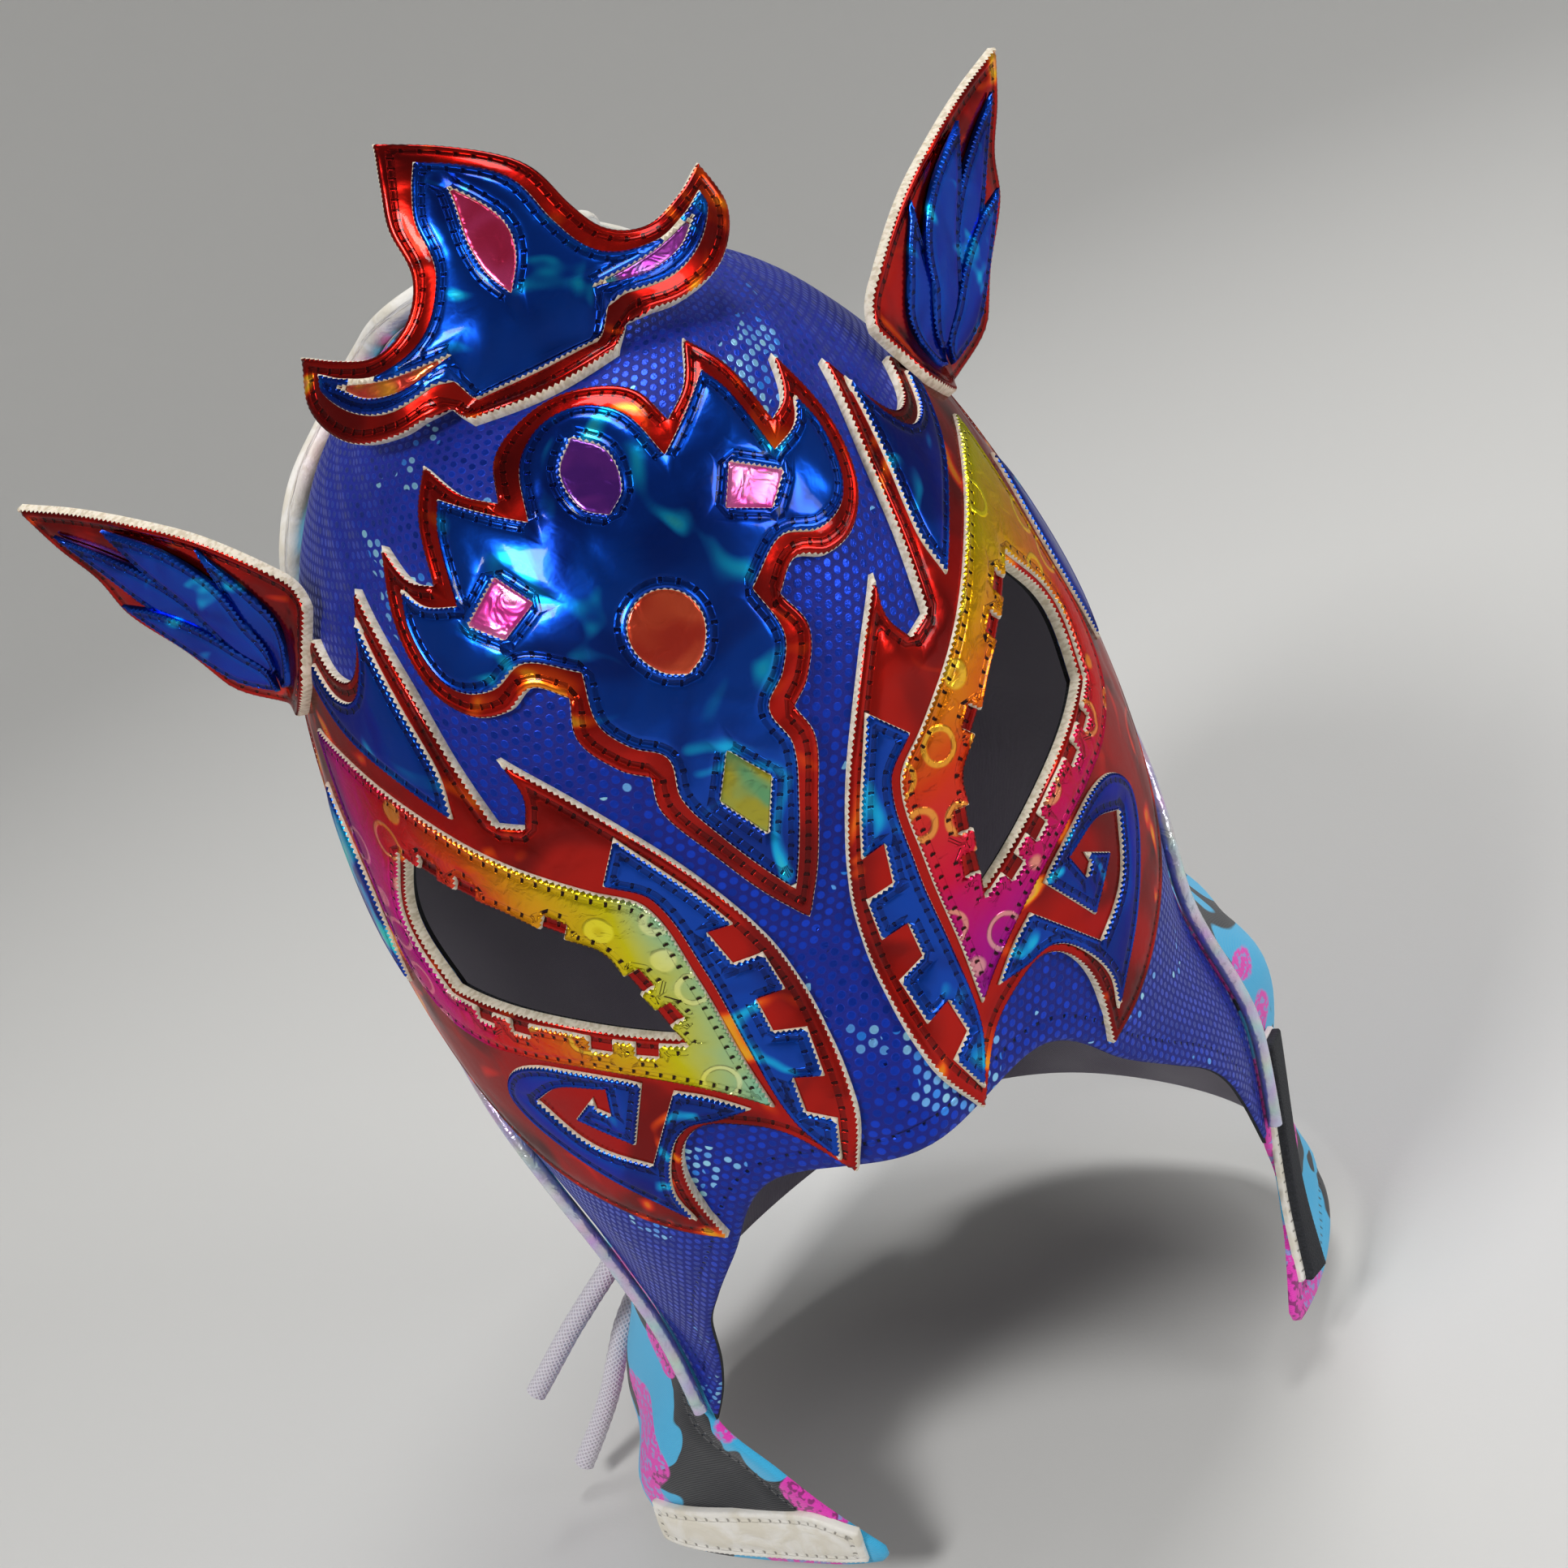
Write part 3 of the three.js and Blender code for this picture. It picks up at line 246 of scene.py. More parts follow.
def to_lines(points, starts, ends, runs):
    """Distance of each point to the nearest of many short lines, and the place along them."""
    far = np.full(len(points), 1e9)
    along = np.zeros(len(points))
    span = ends - starts
    squares = np.maximum((span**2).sum(1), 1e-12)
    for part in range(0, len(points), 2000):
        p = points[part:part + 2000, None, :]
        t = np.clip(((p - starts) * span).sum(2) / squares, 0, 1)
        away = np.linalg.norm(p - starts - t[..., None] * span, axis=2)
        best = away.argmin(1)
        rows = np.arange(len(best))
        far[part:part + 2000] = away[rows, best]
        along[part:part + 2000] = runs[best] + t[rows, best] * np.sqrt(squares[best])
    return far, along


def inside(points, loops):
    """Whether each point lies within the first loop and outside the others."""
    odd = np.zeros(len(points), bool)
    x, y = points[:, 0:1], points[:, 1:2]
    for loop in loops:
        after = np.roll(loop, -1, axis=0)
        y0, y1, x0, x1 = loop[:, 1], after[:, 1], loop[:, 0], after[:, 0]
        crosses = (y0 > y) != (y1 > y)
        reach = x0 + (y - y0) / np.where(y1 == y0, 1e-12, y1 - y0) * (x1 - x0)
        odd ^= ((crosses & (x < reach)).sum(1) % 2).astype(bool)
    return odd


def patch(loops, spacing, rings=()):
    """Even triangles over a flat outline with holes, with rows of points beside its cut edges."""
    starts = np.concatenate(loops)
    ends = np.concatenate([np.roll(loop, -1, axis=0) for loop in loops])
    runs = np.concatenate([np.cumsum(np.linalg.norm(np.roll(x, -1, axis=0) - x, axis=1)) for x in loops])
    runs -= np.linalg.norm(ends - starts, axis=1)
    low, high = starts.min(0), starts.max(0)
    rows = np.arange(low[1], high[1], spacing * 0.866)
    cols = np.arange(low[0], high[0] + spacing, spacing)
    lattice = np.array([(x + (k % 2) * spacing / 2, y) for k, y in enumerate(rows) for x in cols])
    lattice = lattice[inside(lattice, loops)]
    away, _ = to_lines(lattice, starts, ends, runs)
    clear = (rings[-1] if rings else 0) + spacing * 0.55
    found = [starts, lattice[away > clear]]
    side = (ends - starts)[:, ::-1] * (1, -1)
    side /= np.maximum(np.linalg.norm(side, axis=1, keepdims=True), 1e-9)
    for depth in rings:
        for sign in (-1, 1):
            row = (starts + ends) / 2 + sign * side * depth
            row = row[inside(row, loops)]
            if len(row):
                away, _ = to_lines(row, starts, ends, runs)
                found.append(row[away > depth * 0.97])
    points = np.concatenate(found)
    first = 0
    edges = []
    for loop in loops:
        n = len(loop)
        edges += [(first + i, first + (i + 1) % n) for i in range(n)]
        first += n
    made = delaunay_2d_cdt([Vector(p) for p in points], edges, [], 0, 1e-5)
    flat = np.array([tuple(p) for p in made[0]])
    faces = np.array(made[2])
    faces = faces[inside(flat[faces].mean(1), loops)]
    used, faces = np.unique(faces, return_inverse=True)
    flat = flat[used]
    faces = faces.reshape(-1, 3)
    corner = flat[faces]
    turn = np.cross(corner[:, 1] - corner[:, 0], corner[:, 2] - corner[:, 0])
    faces[turn < 0] = faces[turn < 0][:, ::-1]
    cut, run = to_lines(flat, starts, ends, runs)
    return flat, faces, cut, run


def rim_of(faces):
    """Edges that belong to one face only, in the order that the faces give them."""
    edges = np.concatenate([faces[:, [0, 1]], faces[:, [1, 2]], faces[:, [2, 0]]])
    known = {tuple(e) for e in edges}
    return np.array([e for e in edges if (e[1], e[0]) not in known])


def mesh_object(name, points, faces, slots=None, values=None, smooth=True):
    """Object in metres from points in millimetres. values are numbers per point that the materials read."""
    mesh = bpy.data.meshes.new(name)
    mesh.from_pydata((np.asarray(points) * MM).tolist(), [], [tuple(f) for f in faces])
    for key, numbers in (values or {}).items():
        numbers = np.asarray(numbers, np.float32)
        kind = "FLOAT" if numbers.ndim == 1 else "FLOAT_VECTOR"
        layer = mesh.attributes.new(key, kind, "POINT")
        layer.data.foreach_set("value" if numbers.ndim == 1 else "vector", numbers.ravel())
    if slots is not None:
        mesh.polygons.foreach_set("material_index", np.asarray(slots, np.int32))
    mesh.polygons.foreach_set("use_smooth", np.full(len(mesh.polygons), smooth))
    mesh.update()
    mesh.set_sharp_from_angle(angle=math.radians(60))
    piece = bpy.data.objects.new(name, mesh)
    bpy.context.scene.collection.objects.link(piece)
    return piece


def settle(piece, finishes, replaced=()):
    """Gives a piece its materials and slot, and seats it on the part."""
    for finish in finishes:
        piece.data.materials.append(material(finish))
    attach(piece, "root")
    if replaced:
        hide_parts(*replaced)
    return piece


def layer(name, loops, chart, low, thick, spacing, rings=(), rim=0.6, inset=1.7, groove=0.0,
          relief=None, creases=(), edge_width=0.3):
    """Closed layer of cloth, foam or foil over an outline, with a rounded rim and a sewn groove.

    Faces 0 are its top, 1 its cut edge and 2 its back.
    """
    flat, faces, cut, run = patch(loops, spacing, rings)
    sewn = np.abs(cut - inset)
    for crease in creases:
        line = np.asarray(crease, float)
        lengths = np.linalg.norm(np.diff(line, axis=0), axis=1)
        near, along = to_lines(flat, line[:-1], line[1:], np.concatenate([[0], np.cumsum(lengths)[:-1]]))
        run = np.where(near < sewn, along, run)
        sewn = np.minimum(sewn, near)
    bulge = np.sqrt(np.clip(1 - (1 - np.clip(cut / rim, 0, 1)) ** 2, 0, 1))
    swell = relief(flat, cut) if relief else np.zeros(len(flat))
    top = low + thick - rim + rim * bulge - groove * np.exp(-((sewn / 0.6) ** 2)) + swell
    under = low + np.zeros(len(flat)) + (swell if relief else 0) * ease(cut / 3)
    count = len(flat)
    edge = rim_of(faces)
    wall = np.concatenate([
        np.stack([edge[:, 1], edge[:, 0], edge[:, 0] + count], 1),
        np.stack([edge[:, 1], edge[:, 0] + count, edge[:, 1] + count], 1)])
    places = np.concatenate([lift(chart, flat, top), lift(chart, flat, under)])
    corner = places[faces[:, :3]]
    normal = np.cross(corner[:, 1] - corner[:, 0], corner[:, 2] - corner[:, 0]).sum(0)
    outward = (lift(chart, flat, top + 1) - places[:count]).sum(0)
    if normal @ outward < 0:
        faces, wall = faces[:, ::-1], wall[:, ::-1]
    every = np.concatenate([faces, faces[:, ::-1] + count, wall])
    rim_faces = cut[faces].mean(1) < edge_width
    slots = np.concatenate([rim_faces.astype(int), np.full(len(faces), 2), np.ones(len(wall), int)])
    twice = lambda x: np.concatenate([x, x])
    values = {"cut": twice(cut), "run": twice(run), "sewn": twice(sewn),
              "chart": np.concatenate([np.c_[flat, np.zeros(count)], np.c_[flat, np.ones(count)]])}
    return mesh_object(name, places, every, slots, values)


def curve_points(points, spacing):
    """Points evenly spaced on a smooth curve through the given ones."""
    p = np.asarray(points, float)
    p = np.concatenate([[2 * p[0] - p[1]], p, [2 * p[-1] - p[-2]]])
    knots = np.concatenate([[0], np.cumsum(np.linalg.norm(np.diff(p, axis=0), axis=1) ** 0.5)])
    fine = []
    for i in range(1, len(p) - 2):
        t0, t1, t2, t3 = knots[i - 1:i + 3]
        t = np.linspace(t1, t2, 25)[:-1, None] if i < len(p) - 3 else np.linspace(t1, t2, 25)[:, None]
        a1 = (t1 - t) / (t1 - t0) * p[i - 1] + (t - t0) / (t1 - t0) * p[i]
        a2 = (t2 - t) / (t2 - t1) * p[i] + (t - t1) / (t2 - t1) * p[i + 1]
        a3 = (t3 - t) / (t3 - t2) * p[i + 1] + (t - t2) / (t3 - t2) * p[i + 2]
        b1 = (t2 - t) / (t2 - t0) * a1 + (t - t0) / (t2 - t0) * a2
        b2 = (t3 - t) / (t3 - t1) * a2 + (t - t1) / (t3 - t1) * a3
        fine.append((t2 - t) / (t2 - t1) * b1 + (t - t1) / (t2 - t1) * b2)
    fine = np.concatenate(fine)
    length = np.concatenate([[0], np.cumsum(np.linalg.norm(np.diff(fine, axis=0), axis=1))])
    places = np.linspace(0, length[-1], max(2, int(length[-1] / spacing) + 1))
    return np.stack([np.interp(places, length, fine[:, k]) for k in range(3)], 1), places


def tube(name, points, radius, sides, spacing, relief=None):
    """Closed tube along a curve. relief(turn, place) scales its radius."""
    line, place = curve_points(points, spacing)
    ahead = np.gradient(line, axis=0)
    ahead /= np.linalg.norm(ahead, axis=1, keepdims=True)
    side = np.cross(ahead[0], (0, 0, 1) if abs(ahead[0][2]) < 0.9 else (0, 1, 0))
    frames = []
    for direction in ahead:
        side = side - direction * (side @ direction)
        side /= np.linalg.norm(side)
        frames.append((side, np.cross(direction, side)))
    frames = np.array(frames)
    turn = np.arange(sides) / sides * 2 * math.pi
    scale = np.ones((len(line), sides)) if relief is None else relief(turn[None, :], place[:, None])
    cosine, sine = np.cos(turn)[None, :, None], np.sin(turn)[None, :, None]
    ring = cosine * frames[:, None, 0] + sine * frames[:, None, 1]
    places = line[:, None] + ring * (radius * scale)[..., None]
    count = len(line)
    i, k = np.meshgrid(np.arange(count - 1), np.arange(sides), indexing="ij")
    after = (k + 1) % sides
    quads = np.stack([i * sides + k, i * sides + after, (i + 1) * sides + after, (i + 1) * sides + k], -1)
    faces = [tuple(f) for f in quads.reshape(-1, 4)]
    places = np.concatenate([places.reshape(-1, 3), line[:1], line[-1:]])
    first, last = count * sides, count * sides + 1
    for k in range(sides):
        faces.append((first, (k + 1) % sides, k))
        faces.append((last, (count - 1) * sides + k, (count - 1) * sides + (k + 1) % sides))
    chart = np.stack([np.broadcast_to(turn[None, :] * radius, (count, sides)),
                      np.broadcast_to(place[:, None], (count, sides)), np.zeros((count, sides))], -1)
    chart = np.concatenate([chart.reshape(-1, 3), [[0, 0, 0]], [[0, place[-1], 0]]])
    return mesh_object(name, places, faces, values={"chart": chart}), line


def joined(name, pieces):
    """One object from several like meshes."""
    bpy.ops.object.select_all(action="DESELECT")
    for piece in pieces:
        piece.select_set(True)
    bpy.context.view_layer.objects.active = pieces[0]
    bpy.ops.object.join()
    pieces[0].name = name
    pieces[0].data.name = name
    return pieces[0]


# Sizes and colours that a user would change


def linear(hex_code):
    """Linear colour of an sRGB hex value, with alpha."""
    shares = [int(hex_code[k:k + 2], 16) / 255 for k in (1, 3, 5)]
    return (*[c / 12.92 if c <= 0.04045 else ((c + 0.055) / 1.055) ** 2.4 for c in shares], 1.0)


def length_property(label, text, millimetres):
    return bpy.props.FloatProperty(name=label, description=text, default=millimetres * MM, min=0,
                                   subtype="DISTANCE", unit="LENGTH", precision=4)


def colour_property(label, text, hex_code):
    return bpy.props.FloatVectorProperty(name=label, description=text, default=linear(hex_code), size=4,
                                         min=0, max=1, subtype="COLOR")


class MaskSizes(bpy.types.PropertyGroup):
    """Sizes of the mask's layers, stitches and cords."""

    cloth: length_property("Cloth", "Thickness of the hood's cloth with its lining", 1.5)
    base: length_property("Foam base", "Thickness of the red foam-backed layer", 2.3)
    top: length_property("Foam top", "Thickness of the blue foam-backed layer", 1.4)
    dot_pitch: length_property("Foil dots", "Distance between the foil dots of the cloth", 2.2)
    stitch: length_property("Stitch", "Length of one machine stitch", 2.4)
    ring: length_property("Rings", "Distance between the rings of the rainbow foil", 9.5)
    blotch: length_property("Print", "Size of the black blotches of the printed cloth", 24)
    lace: length_property("Lace", "Diameter of the round braided lace", 5.5)
    piping: length_property("Piping", "Diameter of the silver piping", 3.4)


class MaskColours(bpy.types.PropertyGroup):
    """Colours of the mask's cloths, foils and cords."""

    cloth: colour_property("Cloth", "Ground of the dotted cloth", "#101F86")
    dots: colour_property("Dots", "Foil dots of the cloth", "#1D4AE0")
    # Painted highlight: the colour given to foil dots that stand in for light caught by the foil.
    painted_sparkle: colour_property("Sparkle", "Foil dots that catch the light", "#A6E4FF")
    red: colour_property("Red foil", "Red mirror foil", "#B3160C")
    blue: colour_property("Blue foil", "Blue mirror foil", "#0A44B0")
    foam: colour_property("Foam", "Cut edges and backs of the foam", "#EBE0CC")
    print_ground: colour_property("Print ground", "Ground of the printed cloth", "#3CBBEE")
    print_black: colour_property("Print blotches", "Blotches of the printed cloth", "#12141C")
    print_pink: colour_property("Print patches", "Speckled patches of the printed cloth", "#F03CC0")
    lining: colour_property("Lining", "Jersey inside the hood", "#8D8596")
    piping: colour_property("Piping", "Pearly piping along the side seams", "#C9C6DA")
    lace: colour_property("Lace", "Braided lace", "#E9E4EC")
    tape: colour_property("Hook tape", "Hooks of the closure", "#131417")


# Materials


def add(tree, kind, links=(), out=0, stops=(), **settings):
    """Adds a node with its settings, links and colour stops (place, hex), and gives one of its outputs."""
    made = tree.nodes.new(kind)
    for key, value in settings.items():
        setattr(made, key, value)
    for key, value in dict(links).items():
        if isinstance(value, bpy.types.NodeSocket):
            tree.links.new(value, made.inputs[key])
        else:
            made.inputs[key].default_value = value
    for k, (place, colour) in enumerate(stops):
        scale = made.color_ramp.elements
        stop = scale[k] if k < 2 else scale.new(place)
        stop.position = place
        stop.color = linear(colour)
    return made.outputs[out] if made.outputs else made


def chart_at(tree, period):
    """Pattern coordinates of the surface, counted in periods of so many millimetres."""
    flat = add(tree, "ShaderNodeAttribute", out="Vector", attribute_name="chart")
    return add(tree, "ShaderNodeVectorMath", {0: flat, "Scale": 1 / period}, operation="SCALE")


def sewing(tree, width=0.3):
    """Needle holes and thread of the stitch rows, as two masks."""
    pitch = bpy.context.scene.mask_sizes.stitch / MM
    run = add(tree, "ShaderNodeAttribute", out="Fac", attribute_name="run")
    sewn = add(tree, "ShaderNodeAttribute", out="Fac", attribute_name="sewn")
    turns = add(tree, "ShaderNodeMath", {0: run, 1: pitch}, operation="DIVIDE")
    phase = add(tree, "ShaderNodeMath", {0: turns}, operation="FRACT")
    row = add(tree, "ShaderNodeMapRange", {0: sewn, 1: width, 2: width * 1.9, 3: 1.0, 4: 0.0},
              interpolation_type="SMOOTHSTEP")
    thread = add(tree, "ShaderNodeMath",
                 {0: row,
                  1: add(tree, "ShaderNodeMapRange", {0: phase, 1: 0.64, 2: 0.72, 3: 1.0, 4: 0.0},
                         interpolation_type="SMOOTHSTEP")}, operation="MULTIPLY")
    from_hole = add(tree, "ShaderNodeMath",
                    {0: add(tree, "ShaderNodeMath", {0: phase, 1: 0.84}, operation="SUBTRACT")},
                    operation="ABSOLUTE")
    hole = add(tree, "ShaderNodeMath",
               {0: row,
                1: add(tree, "ShaderNodeMapRange", {0: from_hole, 1: 0.07, 2: 0.13, 3: 1.0, 4: 0.0},
                       interpolation_type="SMOOTHSTEP")}, operation="MULTIPLY")
    return hole, thread


def relief_normal(tree, heights, depth=1.0):
    """Normal from heights in millimetres that are added up."""
    total = heights[0]
    for height in heights[1:]:
        total = add(tree, "ShaderNodeMath", {0: total, 1: height}, operation="ADD")
    return add(tree, "ShaderNodeBump", {"Height": total, "Distance": MM * depth, "Strength": 1.0})


def dotted_cloth(tree):
    """Stretch knit with round foil dots in a staggered grid: the ground is matt, and patches of dots get
    painted glints.
    """
    colours, pitch = bpy.context.scene.mask_colours, bpy.context.scene.mask_sizes.dot_pitch / MM
    cell = (1.0, 1.732, 1.0)
    away, tags = [], []
    for shift in ((0, 0, 0), (0.5, 0.866, 0)):
        at = add(tree, "ShaderNodeVectorMath", {0: chart_at(tree, pitch), 1: shift}, operation="ADD")
        inner = add(tree, "ShaderNodeVectorMath", {0: at, 1: cell, 2: (0, 0, 0)}, operation="WRAP")
        centred = add(tree, "ShaderNodeVectorMath", {0: inner, 1: (0.5, 0.866, 0)}, operation="SUBTRACT")
        away.append(add(tree, "ShaderNodeVectorMath", {0: centred}, out="Value", operation="LENGTH"))
        corner = add(tree, "ShaderNodeVectorMath", {0: at, 1: inner}, operation="SUBTRACT")
        tags.append(add(tree, "ShaderNodeVectorMath", {0: corner, 1: shift}, operation="ADD"))
    first = add(tree, "ShaderNodeMath", {0: away[0], 1: away[1]}, operation="LESS_THAN")
    near = add(tree, "ShaderNodeMath", {0: away[0], 1: away[1]}, operation="MINIMUM")
    tag = add(tree, "ShaderNodeMix", {0: first, 4: tags[1], 5: tags[0]}, out=1, data_type="VECTOR")
    chance = add(tree, "ShaderNodeTexWhiteNoise", {0: tag}, noise_dimensions="3D")
    dot = add(tree, "ShaderNodeMapRange", {0: near, 1: 0.27, 2: 0.38, 3: 1.0, 4: 0.0},
              interpolation_type="SMOOTHSTEP")
    # Painted highlight: within noise patches, random dots are coloured pale cyan as if they caught the light.
    patches = add(tree, "ShaderNodeTexNoise",
                  {"Vector": chart_at(tree, 26), "Scale": 1.0, "Detail": 3.0, "Distortion": 0.4})
    glint_chance = add(tree, "ShaderNodeMath", {0: patches, 1: 7.0, 2: -3.95}, operation="MULTIPLY_ADD")
    painted_glint_mask = add(tree, "ShaderNodeMath", {0: chance, 1: glint_chance}, operation="LESS_THAN")
    painted_glint_mask = add(tree, "ShaderNodeMath", {0: painted_glint_mask, 1: dot}, operation="MULTIPLY")
    tone = add(tree, "ShaderNodeMapRange", {0: chance, 1: 0.0, 2: 1.0, 3: 0.35, 4: 1.0})
    shine = add(tree, "ShaderNodeMix",
                {0: add(tree, "ShaderNodeMath", {0: dot, 1: 0.8}, operation="MULTIPLY"),
                 6: tuple(colours.cloth), 7: tuple(colours.dots)}, out=2, data_type="RGBA")
    shaded = add(tree, "ShaderNodeMix",
                 {0: add(tree, "ShaderNodeMath", {0: dot, 1: 0.8}, operation="MULTIPLY"), 6: shine,
                  7: add(tree, "ShaderNodeCombineColor", {0: tone, 1: tone, 2: tone})}, out=2,
                 data_type="RGBA", blend_type="MULTIPLY")
    painted_glint_colour = add(tree, "ShaderNodeMix",
                {0: add(tree, "ShaderNodeMath",
                        {0: add(tree, "ShaderNodeMath", {0: chance, 1: 9.7}, operation="MULTIPLY")},
                        operation="FRACT"), 6: linear("#2F8CFF"), 7: tuple(colours.painted_sparkle)}, out=2,
                data_type="RGBA")
    colour = add(tree, "ShaderNodeMix", {0: painted_glint_mask, 6: shaded, 7: painted_glint_colour}, out=2, data_type="RGBA")
    hole, thread = sewing(tree)
    # Painted shade: the needle holes are darkened.
    colour = add(tree, "ShaderNodeMix", {0: hole, 6: colour, 7: linear("#070B26")}, out=2, data_type="RGBA")
    rough = add(tree, "ShaderNodeMapRange", {0: dot, 1: 0.0, 2: 1.0, 3: 0.62, 4: 0.3})
    weave = add(tree, "ShaderNodeMath",
                {0: add(tree, "ShaderNodeTexNoise",
                        {"Vector": chart_at(tree, 0.7), "Scale": 1.0, "Detail": 2.0}), 1: 0.12},
                operation="MULTIPLY")
    return {"Base Color": colour,
            "Metallic": add(tree, "ShaderNodeMath", {0: dot, 1: 0.72}, operation="MULTIPLY"),
            "Roughness": rough, "Specular IOR Level": 0.25,
            "Normal": relief_normal(tree,
                                    [weave,
                                     add(tree, "ShaderNodeMath", {0: dot, 1: 0.05}, operation="MULTIPLY"),
                                     add(tree, "ShaderNodeMath", {0: hole, 1: -0.35},
                                         operation="MULTIPLY"),
                                     add(tree, "ShaderNodeMath", {0: thread, 1: 0.12},
                                         operation="MULTIPLY")])}


def mirror_foil(base, painted_shade_colour, highlight_stops, shade):
    """Metallised vinyl: a tinted mirror that warps between its stitches, with painted shade and warm or cold
    painted highlights.
    """

    def finish(tree):
        colours = bpy.context.scene.mask_colours
        tint = tuple(getattr(colours, base)) if not base.startswith("#") else linear(base)
        # Painted shade: noise patches darken the tint towards the colour of the foil in shadow.
        painted_shade_clouds = add(tree, "ShaderNodeTexNoise",
                     {"Vector": chart_at(tree, 30), "Scale": 1.0, "Detail": 2.0, "Distortion": 1.2})
        colour = add(tree, "ShaderNodeMix",
                     {0: add(tree, "ShaderNodeMapRange", {0: painted_shade_clouds, 1: 0.34, 2: 0.56, 3: 1.0, 4: 0.0},
                             interpolation_type="SMOOTHSTEP"), 6: tint, 7: linear(painted_shade_colour)}, out=2,
                     data_type="RGBA")
        # Painted highlight: warm or cold hues are laid over the foil in noise patches as reflections, with
        # more of them on the left side of the face.
        flat = add(tree, "ShaderNodeAttribute", out="Vector", attribute_name="chart")
        around = add(tree, "ShaderNodeSeparateXYZ", {0: flat})
        temple = add(tree, "ShaderNodeMapRange", {0: around, 1: -104, 2: -62, 3: 0.09, 4: -0.01})
        painted_highlight_noise = add(tree, "ShaderNodeMath",
                     {0: add(tree, "ShaderNodeTexNoise",
                             {"Vector": chart_at(tree, 19), "Scale": 1.0, "Detail": 1.0,
                              "Distortion": 1.8}), 1: temple}, operation="ADD")
        painted_highlight_colour = add(tree, "ShaderNodeValToRGB", {0: painted_highlight_noise}, stops=highlight_stops)
        mask = add(tree, "ShaderNodeMapRange", {0: painted_highlight_noise, 1: 0.585, 2: 0.68, 3: 0.0, 4: 0.95})
        colour = add(tree, "ShaderNodeMix", {0: mask, 6: colour, 7: painted_highlight_colour}, out=2, data_type="RGBA")
        hole, thread = sewing(tree)
        # Painted shade: the needle holes are darkened with the shade colour, which is also the thread's own
        # colour.
        colour = add(tree, "ShaderNodeMix",
                     {0: add(tree, "ShaderNodeMath", {0: hole, 1: 0.9}, operation="MULTIPLY"), 6: colour,
                      7: linear(shade)}, out=2, data_type="RGBA")
        colour = add(tree, "ShaderNodeMix",
                     {0: add(tree, "ShaderNodeMath", {0: thread, 1: 0.45}, operation="MULTIPLY"),
                      6: colour, 7: linear(shade)}, out=2, data_type="RGBA")
        waves = add(tree, "ShaderNodeMath",
                    {0: add(tree, "ShaderNodeTexNoise",
                            {"Vector": chart_at(tree, 11), "Scale": 1.0, "Detail": 1.0,
                             "Distortion": 0.5}), 1: 0.8}, operation="MULTIPLY")
        crinkle = add(tree, "ShaderNodeMath",
                      {0: add(tree, "ShaderNodeTexNoise",
                              {"Vector": chart_at(tree, 2.6), "Scale": 1.0, "Detail": 2.0,
                               "Distortion": 0.3}), 1: 0.05}, operation="MULTIPLY")
        puff = add(tree, "ShaderNodeMath", {0: thread, 1: 0.16}, operation="MULTIPLY")
        return {"Base Color": colour, "Metallic": 0.92, "Roughness": 0.22, "Specular Tint": colour,
                "Coat Weight": 0.25, "Coat Roughness": 0.06,
                "Normal": relief_normal(tree,
                                        [waves, crinkle,
                                         add(tree, "ShaderNodeMath", {0: hole, 1: -0.4},
                                             operation="MULTIPLY"), puff])}

    return finish


